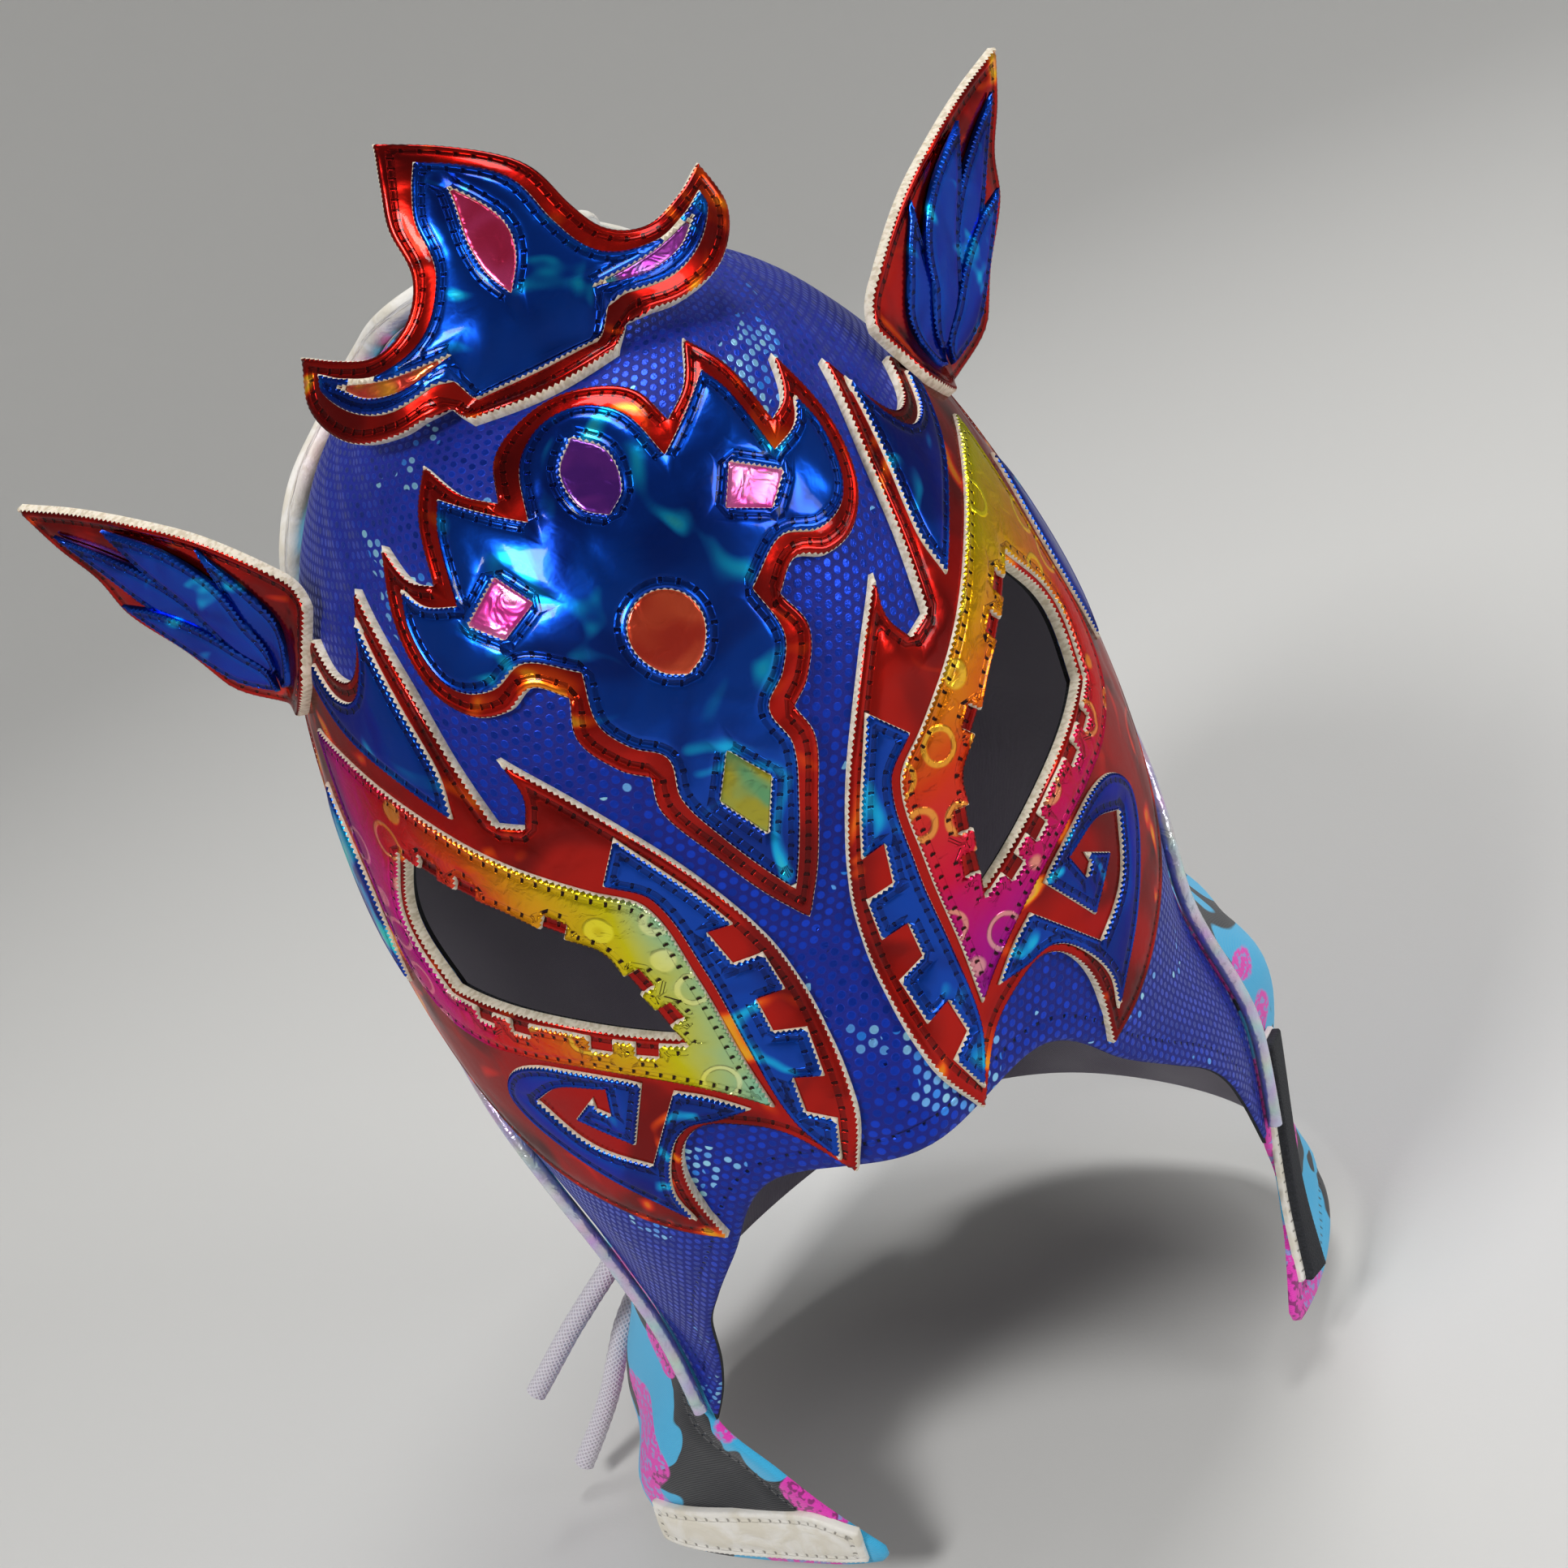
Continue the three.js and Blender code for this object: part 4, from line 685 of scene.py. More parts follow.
def ring_foil(axis, low, high, stops):
    """Holographic foil with embossed rings: a mirror whose hue runs through the rainbow along the band, with
    a painted yellow highlight along the rings.
    """

    def finish(tree):
        period = bpy.context.scene.mask_sizes.ring / MM
        flat = add(tree, "ShaderNodeAttribute", out="Vector", attribute_name="chart")
        along = add(tree, "ShaderNodeSeparateXYZ", {0: flat}, out=axis)
        drift = add(tree, "ShaderNodeMath",
                    {0: add(tree, "ShaderNodeTexNoise",
                            {"Vector": chart_at(tree, 16), "Scale": 1.0, "Detail": 2.0,
                             "Distortion": 0.6}), 1: 14.0}, operation="MULTIPLY")
        moved = add(tree, "ShaderNodeMath", {0: along, 1: drift}, operation="ADD")
        share = add(tree, "ShaderNodeMapRange", {0: moved, 1: low + 7, 2: high + 7, 3: 0.0, 4: 1.0})
        colour = add(tree, "ShaderNodeValToRGB", {0: share}, stops=stops)
        cells = add(tree, "ShaderNodeTexVoronoi",
                    {"Vector": chart_at(tree, period), "Scale": 1.0, "Randomness": 0.6})
        off = add(tree, "ShaderNodeMath", {0: cells, 1: 0.36}, operation="SUBTRACT")
        ring = add(tree, "ShaderNodeMapRange",
                   {0: add(tree, "ShaderNodeMath", {0: off}, operation="ABSOLUTE"), 1: 0.025, 2: 0.07,
                    3: 1.0, 4: 0.0}, interpolation_type="SMOOTHSTEP")
        # Painted highlight: a yellow glint is screened onto the colour along the embossed rings.
        glint = add(tree, "ShaderNodeMix", {0: 0.45, 6: colour, 7: linear("#FFE84A")}, out=2,
                    data_type="RGBA")
        colour = add(tree, "ShaderNodeMix",
                     {0: add(tree, "ShaderNodeMath", {0: ring, 1: 0.8}, operation="MULTIPLY"), 6: colour,
                      7: glint}, out=2, data_type="RGBA", blend_type="SCREEN")
        hole, thread = sewing(tree)
        # Painted shade: the needle holes are darkened.
        colour = add(tree, "ShaderNodeMix", {0: hole, 6: colour, 7: linear("#2A0A0A")}, out=2,
                     data_type="RGBA")
        crinkle = add(tree, "ShaderNodeMath",
                      {0: add(tree, "ShaderNodeTexNoise",
                              {"Vector": chart_at(tree, 4.5), "Scale": 1.0, "Detail": 3.0,
                               "Distortion": 1.2}), 1: 0.5}, operation="MULTIPLY")
        return {"Base Color": colour, "Metallic": 0.95, "Roughness": 0.24, "Specular Tint": colour,
                "Coat Weight": 0.25, "Coat Roughness": 0.06,
                "Normal": relief_normal(tree,
                                        [crinkle,
                                         add(tree, "ShaderNodeMath", {0: ring, 1: 0.16},
                                             operation="MULTIPLY"),
                                         add(tree, "ShaderNodeMath", {0: hole, 1: -0.4},
                                             operation="MULTIPLY"),
                                         add(tree, "ShaderNodeMath", {0: thread, 1: 0.14},
                                             operation="MULTIPLY")])}

    return finish


def window_foil(first, second):
    """Small pane of tinted mirror foil that shades from one hue to another."""

    def finish(tree):
        colour = add(tree, "ShaderNodeMix",
                     {0: add(tree, "ShaderNodeMapRange",
                             {0: add(tree, "ShaderNodeTexNoise",
                                     {"Vector": chart_at(tree, 12), "Scale": 1.0, "Detail": 1.0,
                                      "Distortion": 1.0}), 1: 0.38, 2: 0.62, 3: 1.0, 4: 0.0},
                             interpolation_type="SMOOTHSTEP"), 6: linear(first), 7: linear(second)},
                     out=2, data_type="RGBA")
        crinkle = add(tree, "ShaderNodeMath",
                      {0: add(tree, "ShaderNodeTexNoise",
                              {"Vector": chart_at(tree, 4), "Scale": 1.0, "Detail": 2.0,
                               "Distortion": 0.8}), 1: 0.4}, operation="MULTIPLY")
        return {"Base Color": colour, "Metallic": 0.75, "Roughness": 0.2, "Coat Weight": 0.6,
                "Coat Roughness": 0.06, "Normal": relief_normal(tree, [crinkle])}

    return finish


def cut_foam(tree):
    """Cut edge of white foam-backed vinyl: matt, finely porous and slightly yellowed."""
    pores = add(tree, "ShaderNodeTexNoise", {"Vector": chart_at(tree, 0.8), "Scale": 1.0, "Detail": 3.0})
    colour = add(tree, "ShaderNodeMix",
                 {0: add(tree, "ShaderNodeMapRange", {0: pores, 1: 0.35, 2: 0.6, 3: 1.0, 4: 0.0},
                         interpolation_type="SMOOTHSTEP"), 6: tuple(bpy.context.scene.mask_colours.foam),
                  7: linear("#CDBFA6")}, out=2, data_type="RGBA")
    return {"Base Color": colour, "Roughness": 0.72, "Subsurface Weight": 0.08, "Subsurface Scale": 0.002,
            "Normal": relief_normal(tree,
                                    [add(tree, "ShaderNodeMath", {0: pores, 1: 0.07},
                                         operation="MULTIPLY")])}


def jersey_lining(tree):
    """Fine ribbed jersey: soft grey-mauve with narrow wales."""
    flat = chart_at(tree, 1.1)
    wales = add(tree, "ShaderNodeTexWave", {"Vector": flat, "Scale": 1.0, "Distortion": 0.6, "Detail": 1.0})
    ground = tuple(bpy.context.scene.mask_colours.lining)
    colour = add(tree, "ShaderNodeMix",
                 {0: add(tree, "ShaderNodeMath", {0: wales, 1: 0.35}, operation="MULTIPLY"), 6: ground,
                  7: linear("#5E5768")}, out=2, data_type="RGBA")
    return {"Base Color": colour, "Roughness": 0.9, "Sheen Weight": 0.4,
            "Normal": relief_normal(tree,
                                    [add(tree, "ShaderNodeMath", {0: wales, 1: 0.15},
                                         operation="MULTIPLY"),
                                     add(tree, "ShaderNodeMath",
                                         {0: add(tree, "ShaderNodeTexNoise",
                                                 {"Vector": chart_at(tree, 0.9), "Scale": 1.0}), 1: 0.1},
                                         operation="MULTIPLY")])}


def printed_cloth(tree):
    """Matt stretch print: black blotches and speckled pink patches on a sky ground."""
    colours, size = bpy.context.scene.mask_colours, bpy.context.scene.mask_sizes.blotch / MM
    blot = add(tree, "ShaderNodeTexNoise",
               {"Vector": chart_at(tree, size), "Scale": 1.0, "Detail": 1.0, "Distortion": 0.9})
    black = add(tree, "ShaderNodeMapRange", {0: blot, 1: 0.515, 2: 0.525, 3: 0.0, 4: 1.0})
    patch_noise = add(tree, "ShaderNodeTexNoise",
                      {"Vector": chart_at(tree, size * 0.8), "Scale": 1.0, "Detail": 0.0,
                       "Distortion": 0.3}, out="Color")
    lot = add(tree, "ShaderNodeSeparateColor", {0: patch_noise}, out=1)
    pink = add(tree, "ShaderNodeMapRange", {0: lot, 1: 0.60, 2: 0.615, 3: 0.0, 4: 1.0})
    speck = add(tree, "ShaderNodeMapRange",
                {0: add(tree, "ShaderNodeTexNoise",
                        {"Vector": chart_at(tree, 1.6), "Scale": 1.0, "Detail": 1.0}), 1: 0.42, 2: 0.5,
                 3: 0.35, 4: 1.0})
    colour = add(tree, "ShaderNodeMix",
                 {0: black, 6: tuple(colours.print_ground), 7: tuple(colours.print_black)}, out=2,
                 data_type="RGBA")
    colour = add(tree, "ShaderNodeMix",
                 {0: add(tree, "ShaderNodeMath", {0: pink, 1: speck}, operation="MULTIPLY"), 6: colour,
                  7: tuple(colours.print_pink)}, out=2, data_type="RGBA")
    hole, thread = sewing(tree, 0.4)
    # Painted shade: the needle holes are darkened.
    colour = add(tree, "ShaderNodeMix",
                 {0: add(tree, "ShaderNodeMath", {0: hole, 1: 0.8}, operation="MULTIPLY"), 6: colour,
                  7: linear("#0A1A2A")}, out=2, data_type="RGBA")
    knit = add(tree, "ShaderNodeTexWave",
               {"Vector": chart_at(tree, 1.3), "Scale": 1.0, "Distortion": 0.4, "Detail": 1.0},
               bands_direction="Y")
    return {"Base Color": colour, "Roughness": 0.82, "Sheen Weight": 0.3,
            "Normal": relief_normal(tree,
                                    [add(tree, "ShaderNodeMath", {0: knit, 1: 0.08},
                                         operation="MULTIPLY"),
                                     add(tree, "ShaderNodeMath", {0: hole, 1: -0.3},
                                         operation="MULTIPLY"),
                                     add(tree, "ShaderNodeMath", {0: thread, 1: 0.12},
                                         operation="MULTIPLY")])}


def pearl_piping(tree):
    """Pearly coated cloth rolled over a cord: silvery lilac with cross creases."""
    creases = add(tree, "ShaderNodeTexNoise",
                  {"Vector": chart_at(tree, 3.2), "Scale": 1.0, "Detail": 3.0, "Distortion": 0.8})
    hue = add(tree, "ShaderNodeTexNoise", {"Vector": chart_at(tree, 6), "Scale": 1.0, "Detail": 1.0},
              out="Color")
    colour = add(tree, "ShaderNodeMix", {0: 0.7, 6: tuple(bpy.context.scene.mask_colours.piping), 7: hue},
                 out=2, data_type="RGBA", blend_type="OVERLAY")
    return {"Base Color": colour, "Metallic": 0.65, "Roughness": 0.26, "Coat Weight": 0.5,
            "Coat Roughness": 0.12,
            "Normal": relief_normal(tree,
                                    [add(tree, "ShaderNodeMath", {0: creases, 1: 0.5},
                                         operation="MULTIPLY")])}


def creased_vinyl(tree):
    """Soft coated cloth in cream: satin, with long shallow creases and rubbed lines."""
    creases = add(tree, "ShaderNodeTexNoise",
                  {"Vector": chart_at(tree, 7), "Scale": 1.0, "Detail": 4.0, "Distortion": 0.7})
    colour = add(tree, "ShaderNodeMix",
                 {0: add(tree, "ShaderNodeMapRange", {0: creases, 1: 0.4, 2: 0.62, 3: 1.0, 4: 0.0},
                         interpolation_type="SMOOTHSTEP"), 6: linear("#E9E2D2"), 7: linear("#F6F2EA")},
                 out=2, data_type="RGBA")
    hole, thread = sewing(tree, 0.35)
    # Painted shade: the needle holes are darkened.
    colour = add(tree, "ShaderNodeMix",
                 {0: add(tree, "ShaderNodeMath", {0: hole, 1: 0.7}, operation="MULTIPLY"), 6: colour,
                  7: linear("#5A5348")}, out=2, data_type="RGBA")
    return {"Base Color": colour, "Roughness": 0.5, "Coat Weight": 0.15, "Coat Roughness": 0.3,
            "Normal": relief_normal(tree,
                                    [add(tree, "ShaderNodeMath", {0: creases, 1: 0.9},
                                         operation="MULTIPLY"),
                                     add(tree, "ShaderNodeMath",
                                         {0: add(tree, "ShaderNodeTexNoise",
                                                 {"Vector": chart_at(tree, 0.6), "Scale": 1.0}), 1: 0.06},
                                         operation="MULTIPLY"),
                                     add(tree, "ShaderNodeMath", {0: thread, 1: 0.15},
                                         operation="MULTIPLY")])}


def braided_cord(tree):
    """Round braid of white polyester: fine slanted plaits with painted grey shade between them."""
    flat = chart_at(tree, 1.0)
    parts = add(tree, "ShaderNodeSeparateXYZ", {0: flat})
    x, y = parts, parts.node.outputs[1]
    plait = []
    for lean in (1.0, -1.0):
        slope = add(tree, "ShaderNodeMath", {0: y, 1: 1.1 * lean, 2: x}, operation="MULTIPLY_ADD")
        wave = add(tree, "ShaderNodeMath",
                   {0: add(tree, "ShaderNodeMath", {0: slope, 1: 4.37}, operation="MULTIPLY")},
                   operation="SINE")
        plait.append(wave)
    high = add(tree, "ShaderNodeMath", {0: plait[0], 1: plait[1]}, operation="MAXIMUM")
    shade = add(tree, "ShaderNodeMapRange", {0: high, 1: -0.6, 2: 0.5, 3: 0.0, 4: 1.0})
    # Painted shade: the low parts between the plaits are coloured grey.
    colour = add(tree, "ShaderNodeMix",
                 {0: shade, 6: linear("#C6BEC9"), 7: tuple(bpy.context.scene.mask_colours.lace)}, out=2,
                 data_type="RGBA")
    return {"Base Color": colour, "Roughness": 0.85, "Sheen Weight": 0.5,
            "Normal": relief_normal(tree,
                                    [add(tree, "ShaderNodeMath", {0: high, 1: 0.13},
                                         operation="MULTIPLY"),
                                     add(tree, "ShaderNodeMath",
                                         {0: add(tree, "ShaderNodeTexNoise",
                                                 {"Vector": chart_at(tree, 0.35), "Scale": 1.0}),
                                          1: 0.08}, operation="MULTIPLY")])}


def hook_pile(tree):
    """Hook side of a touch fastener: near black, scattering little light."""
    fuzz = add(tree, "ShaderNodeTexNoise", {"Vector": chart_at(tree, 0.5), "Scale": 1.0, "Detail": 3.0})
    colour = add(tree, "ShaderNodeMix",
                 {0: fuzz, 6: tuple(bpy.context.scene.mask_colours.tape), 7: linear("#3A3C42")}, out=2,
                 data_type="RGBA")
    return {"Base Color": colour, "Roughness": 0.95,
            "Normal": relief_normal(tree,
                                    [add(tree, "ShaderNodeMath", {0: fuzz, 1: 0.6},
                                         operation="MULTIPLY")])}


def black_binding(tree):
    """Black elastic binding: matt with fine cross ribs."""
    ribs = add(tree, "ShaderNodeTexWave", {"Vector": chart_at(tree, 0.9), "Scale": 1.0, "Detail": 1.0},
               bands_direction="Y")
    return {"Base Color": add(tree, "ShaderNodeMix",
                              {0: ribs, 6: linear("#0C0D12"), 7: linear("#22242B")}, out=2,
                              data_type="RGBA"), "Roughness": 0.8,
            "Normal": relief_normal(tree,
                                    [add(tree, "ShaderNodeMath", {0: ribs, 1: 0.12},
                                         operation="MULTIPLY")])}


def seamless_paper(tree):
    """Pale backdrop paper with the faintest tooth."""
    where = add(tree, "ShaderNodeNewGeometry")
    tooth = add(tree, "ShaderNodeTexNoise", {"Vector": where, "Scale": 900.0, "Detail": 2.0})
    return {"Base Color": linear("#D9D8D5"), "Roughness": 0.9,
            "Normal": add(tree, "ShaderNodeBump", {"Height": tooth, "Distance": 0.0001, "Strength": 0.3})}


LEFT_RAINBOW = [(0.0, "#6A1A9C"), (1.0, "#8CC8A8"), (0.16, "#DE1E9C"), (0.34, "#DC1A38"), (0.52, "#E4521A"),
                (0.68, "#E2A012"), (0.84, "#D2C80A")]
RIGHT_RAINBOW = [(0.0, "#B4D488"), (1.0, "#6414A0"), (0.12, "#DAD00A"), (0.30, "#E29A10"),
                 (0.48, "#DC3A12"), (0.66, "#D8103E"), (0.84, "#B80C84")]
# Painted highlights: colour stops for the light reflected off the red and blue foils.
RED_PAINTED_HIGHLIGHTS = [(0.58, "#DC2A08"), (0.82, "#FF4A7A"), (0.66, "#FF5A10"), (0.74, "#FFC92E")]
BLUE_PAINTED_HIGHLIGHTS = [(0.58, "#1068DC"), (0.78, "#4AE8E0"), (0.68, "#12B4F0")]
FINISHES = {
    "foil_dot_stretch_knit": dotted_cloth,
    "printed_stretch_knit": printed_cloth,
    "jersey_lining": jersey_lining,
    # Second colours are painted shade and the stop lists painted highlights. Last colours darken the needle
    # holes as painted shade and also colour the thread.
    "red_mirror_vinyl": mirror_foil("red", "#7C0C0A", RED_PAINTED_HIGHLIGHTS, "#2E0405"),
    "blue_mirror_vinyl": mirror_foil("blue", "#0A2E8A", BLUE_PAINTED_HIGHLIGHTS, "#050E3C"),
    "ring_foil_left": ring_foil(0, -93, -18, LEFT_RAINBOW),
    "ring_foil_right": ring_foil(1, 110, 205, RIGHT_RAINBOW),
    "pane_purple": window_foil("#5A1C86", "#8C2FA0"),
    "pane_pink": window_foil("#E0389C", "#F078B8"),
    "pane_red": window_foil("#C22B12", "#E0502A"),
    "pane_gold": window_foil("#A8A01C", "#5FA06A"),
    "pane_crimson": window_foil("#C4204C", "#E0407A"),
    "pane_teal": window_foil("#8C2A90", "#1F7F9C"),
    "pane_orange": window_foil("#E0901E", "#D23A2A"),
    "cut_foam": cut_foam,
    "pearl_piping": pearl_piping,
    "creased_vinyl": creased_vinyl,
    "braided_polyester": braided_cord,
    "hook_pile": hook_pile,
    "black_binding": black_binding,
    "backdrop_paper": seamless_paper,
}


def material(name):
    """The named material, made the first time that it is asked for."""
    known = bpy.data.materials.get(name)
    if known:
        return known
    made = bpy.data.materials.new(name)
    made.use_nodes = True
    made.node_tree.nodes.clear()
    shader = add(made.node_tree, "ShaderNodeBsdfPrincipled", FINISHES[name](made.node_tree))
    add(made.node_tree, "ShaderNodeOutputMaterial", {"Surface": shader})
    return made


# Outlines of the pieces, in pattern millimetres. Halves and right sides are mirrored for the rest.

SEAM_GAP, SLIT_TOP, SLIT_HALF, SLIT_FLAP = 0.3, 62, 8, 24
JAW, NECK, NECK_BACK, CROWN = 308, 350, 330, 2
SEAM_LEVELS = tuple(range(14, 295, 14))
EYE = [(69.5, 137.5), (49, 149), (35, 160), (29.5, 181.5), (50, 173), (75, 166), (79, 152)]
LIP_EDGE = [(0, 216), (15, 217.5), (31, 220.5), (45, 238), (57, 253), (65, 265), (70, 284)]
BROW_BASE = [
    (0, 67), (7, 69), (13, 74), (15.5, 82), (21, 78), (26, 70), (31, 80), (33, 92), (38, 90), (42, 83),
    (45, 97), (43, 108), (37, 114), (30, 115), (24, 112.5), (19, 116), (21, 123), (17, 130), (13, 133),
    (14, 139), (10, 149), (5, 160), (0, 168),
]
BROW_TOP = [
    (0, 71.5), (5, 73), (9.5, 78), (12, 87.5), (17, 84), (25, 78), (27.5, 84), (29.5, 96.5), (36, 95),
    (39.5, 91.5), (41, 98), (39.5, 106), (36, 110), (30, 111), (23, 108.5), (15, 113), (16.5, 121.5),
    (13.5, 127), (9, 131), (10, 138), (7, 147), (3, 156), (0, 161.5),
]
SIDE_PANE = [(17, 100), (21, 94), (29, 100), (24, 104)]
SURROUND = [
    (11, 216), (6.5, 203), (5.5, 186), (7.5, 170), (11.5, 158), (18, 145), (27, 132), (36, 122),
    (34.5, 129), (37, 134.5), (42.5, 133), (45, 122), (48, 107), (54, 90), (58, 99), (64, 105.5),
    (72, 105.5), (80, 100), (88, 104), (104, 106), (116, 108), (119.5, 125), (118, 145), (112, 166),
    (104, 185), (96, 199), (84, 210), (66, 220.5), (52, 227), (42, 230), (43.5, 217), (41, 207),
    (35, 201.5), (27, 203), (19, 207),
]
TEMPLE_HOLE = [(108, 118), (112, 120), (113, 126), (110, 130), (106.5, 126), (106, 121)]
EYE_BAND = [
    (89, 116.5), (76, 120.5), (61, 128), (46, 138), (31, 148), (23.5, 154), (21.5, 170), (20.5, 188),
    (19, 200), (26.5, 194.8), (34, 190), (41, 186.3), (50, 182.6), (61, 180), (73, 177.5), (84, 171.5),
    (89, 160), (88, 144),
]
STRIP = [
    (23, 140), (28.5, 147.5), (22, 153), (19.8, 169), (18.8, 187), (16.8, 203), (12, 212.5), (9.5, 204),
    (14, 202), (13.5, 195), (8.5, 196), (8, 187), (13.5, 185.5), (14, 178), (8.8, 178.5), (9.7, 170),
    (15, 169.5), (16.5, 162), (12, 162.5), (15.5, 154),
]
FLAME = [
    (55, 95), (58, 103), (64, 109), (72, 109), (80, 104), (82.5, 107.5), (73, 115), (60, 123), (50, 130.5),
    (48.5, 122), (51, 110),
]
SCROLL = [(23.5, 199.5), (30, 194.7), (35.5, 191.7), (47.5, 208), (59, 202), (66.5, 191.5), (58, 187.5),
          (48, 188.5), (50, 195), (52.5, 193.2), (52, 190.5), (58.5, 195.5), (48.5, 202.5), (40.5, 188.7),
          (43.5, 187), (52, 183.9), (61, 182.3), (69, 184.5), (74.5, 191), (73, 197), (66.5, 204.5),
          (59.5, 211), (51, 218), (45.5, 223.5), (46.5, 215.5), (42.5, 206), (37, 200.5), (30, 200.2),]
TEMPLE_LEAF = [(98, 128), (94, 140), (93.5, 154), (98, 170), (104, 162), (107, 148), (104, 136)]
HORN = [
    (-8, -8), (-13, -4), (-20, 0), (-19.5, 8), (-15, 24), (-8, 37), (0, 49), (9, 60), (12.5, 50),
    (14, 41), (18.5, 33), (18.5, 20), (20, 3), (8, -8),
]
LEAVES = (
    [(-13.5, 24), (-11, 10), (-5, 1), (3, -4), (9, -2), (6, 6), (-2, 12), (-8, 17.5)],
    [(8, 51), (3.5, 40), (1, 29), (2, 16), (6, 4), (11, 6), (12, 16), (10.5, 30), (9, 41)],
    [(-3, 42), (-8.5, 29), (-8.5, 18), (-3, 9), (4, 1), (8.5, 3), (6, 13), (2.5, 22), (0.8, 31)],
    [(14, 34), (9, 27), (5.5, 17), (5.5, 6), (9.5, -2), (14, 7), (14.5, 21)],
)
CREST_BASE = [
    (0, -1), (14, 0), (17, 7), (26, 6.5), (35, 10.5), (40, 20), (38, 30), (32, 25), (25, 21.5),
    (18.5, 23.5), (14.5, 30), (12.5, 40.5), (7, 48.5), (0, 56),
]
CREST_TOP = [
    (0, 4), (11, 4.5), (14.5, 11), (25, 10.5), (31.5, 14), (36, 21), (35.5, 24.5), (31.5, 21),
    (25, 17.8), (16, 19.5), (10.5, 28), (8.5, 38.5), (4.5, 44.5), (0, 49),
]
CREST_SIDE_PANE = [(12.5, 14), (22, 12.9), (28.5, 15.2), (33, 20.3), (24, 16)]
HORN_STANCE = {-1: (1, (0.5, 0.26, 0.83)), 1: (4, (0.56, 0.26, 0.78))}
HORN_ACROSS = (0.62, 0.65, -0.45)
NECK_BAND = [(49, 338), (60, 333), (97, 337), (97, 347.5), (50, 347.5)]
EYE_SQUARE, EYE_SQUARE_DEPTH = 4.2, 3.2


def turned(points, side):
    """Outline of the right side, mirrored for the left one."""
    return mirrored(points) if side < 0 else list(points)


def grown(points, by):
    """Closed outline moved outwards, or inwards by a negative length."""
    p = np.array([q[:2] for q in points], float)
    after = np.roll(p, -1, axis=0)
    area = (p[:, 0] * after[:, 1] - after[:, 0] * p[:, 1]).sum()
    ahead = (after - p) / np.linalg.norm(after - p, axis=1, keepdims=True)
    out = np.stack([ahead[:, 1], -ahead[:, 0]], 1) * math.copysign(1, area)
    before = np.roll(out, 1, axis=0)
    share = np.maximum(1 + (out * before).sum(1), 0.45)[:, None]
    return [tuple(q) for q in p + by * (out + before) / share]


def squared_eye():
    """Edge of the eye band at the opening, cut into squares along the sides over the nose."""
    line = np.array(grown(EYE, 0.8))
    centre = (np.array(EYE[0]) + EYE[3]) / 2
    ring = []
    for i, start in enumerate(line):
        ring.append(tuple(start))
        if i > 4:
            continue
        along = line[(i + 1) % len(line)] - start
        length = np.linalg.norm(along)
        along /= length
        out = np.array([along[1], -along[0]])
        out *= -math.copysign(1, out @ (centre - start))
        teeth = int((length - EYE_SQUARE) / (2 * EYE_SQUARE))
        first = (length - teeth * 2 * EYE_SQUARE + EYE_SQUARE) / 2
        for k in range(teeth):
            near = start + along * (first + k * 2 * EYE_SQUARE)
            far = near + along * EYE_SQUARE
            ring += [tuple(near), tuple(near + out * EYE_SQUARE_DEPTH),
                     tuple(far + out * EYE_SQUARE_DEPTH), tuple(far)]
    return ring


def front_outline():
    half = [(0, 0.5), *[(float(seam(m)) - SEAM_GAP, m) for m in (CROWN, *SEAM_LEVELS, JAW)],
            *LIP_EDGE[::-1]]
    return both_halves(half)


def back_outline(corner):
    """Right back panel, from the side seam to the slit, with the neck corner under the jaw."""
    ring = [(float(seam(m)) + SEAM_GAP, m) for m in (CROWN, *SEAM_LEVELS, JAW)]
    ring += [(corner + 18, JAW + 14), (corner, NECK - 4), (corner + 2, NECK), (corner + 45, NECK)]
    ring += [(float(half_round(NECK_BACK)) - 60, NECK_BACK + 8)]
    ring += [(float(half_round(m)) - SLIT_HALF, m) for m in (NECK_BACK, *range(300, 89, -30),
                                                             SLIT_TOP + 10)]
    return ring + [(float(half_round(m)) - SEAM_GAP, m) for m in (SLIT_TOP - 4, 40, 20, 8, CROWN)]


# Cloth relief: soft folds from a few fixed waves


def ripples(seed, period, count=5):
    """Uneven swell about as wide as period, between about -1 and 1."""
    draw = np.random.default_rng(seed)
    angles, phases = draw.uniform(0, 2 * math.pi, (2, count))
    lengths = period * draw.uniform(0.7, 1.5, count)

    def at(flat):
        total = np.zeros(len(flat))
        for angle, phase, length in zip(angles, phases, lengths):
            total += np.sin((flat @ (math.cos(angle), math.sin(angle))) * 2 * math.pi / length + phase)
        return total / count**0.5 / 1.4

    return at


def near(value, centre, width):
    return np.exp(-(((value - centre) / width) ** 2))


def front_relief(flat, cut):
    """Folds over the crown, at the nose bridge and beside the mouth, with the seam down the lip."""
    a, m = np.abs(flat[:, 0]), flat[:, 1]
    crown = near(a, 58, 16) * near(m, 72, 26) * np.sin((a + 0.55 * m) * 2 * math.pi / 13)
    bridge = near(a, 0, 13) * near(m, 178, 20) * np.sin(m * 2 * math.pi / 11 + a / 9)
    cheek = near(a, 40, 22) * near(m, 232, 16) * np.sin((m - 0.8 * a) * 2 * math.pi / 17)
    lip_seam = near(a, 0, 0.8) * ease((m - 172) / 8)
    swell = 0.45 * crown + 0.25 * bridge + 0.45 * cheek - 0.55 * lip_seam + 0.22 * ripples(3, 30)(flat)
    return swell * ease(cut / 6)


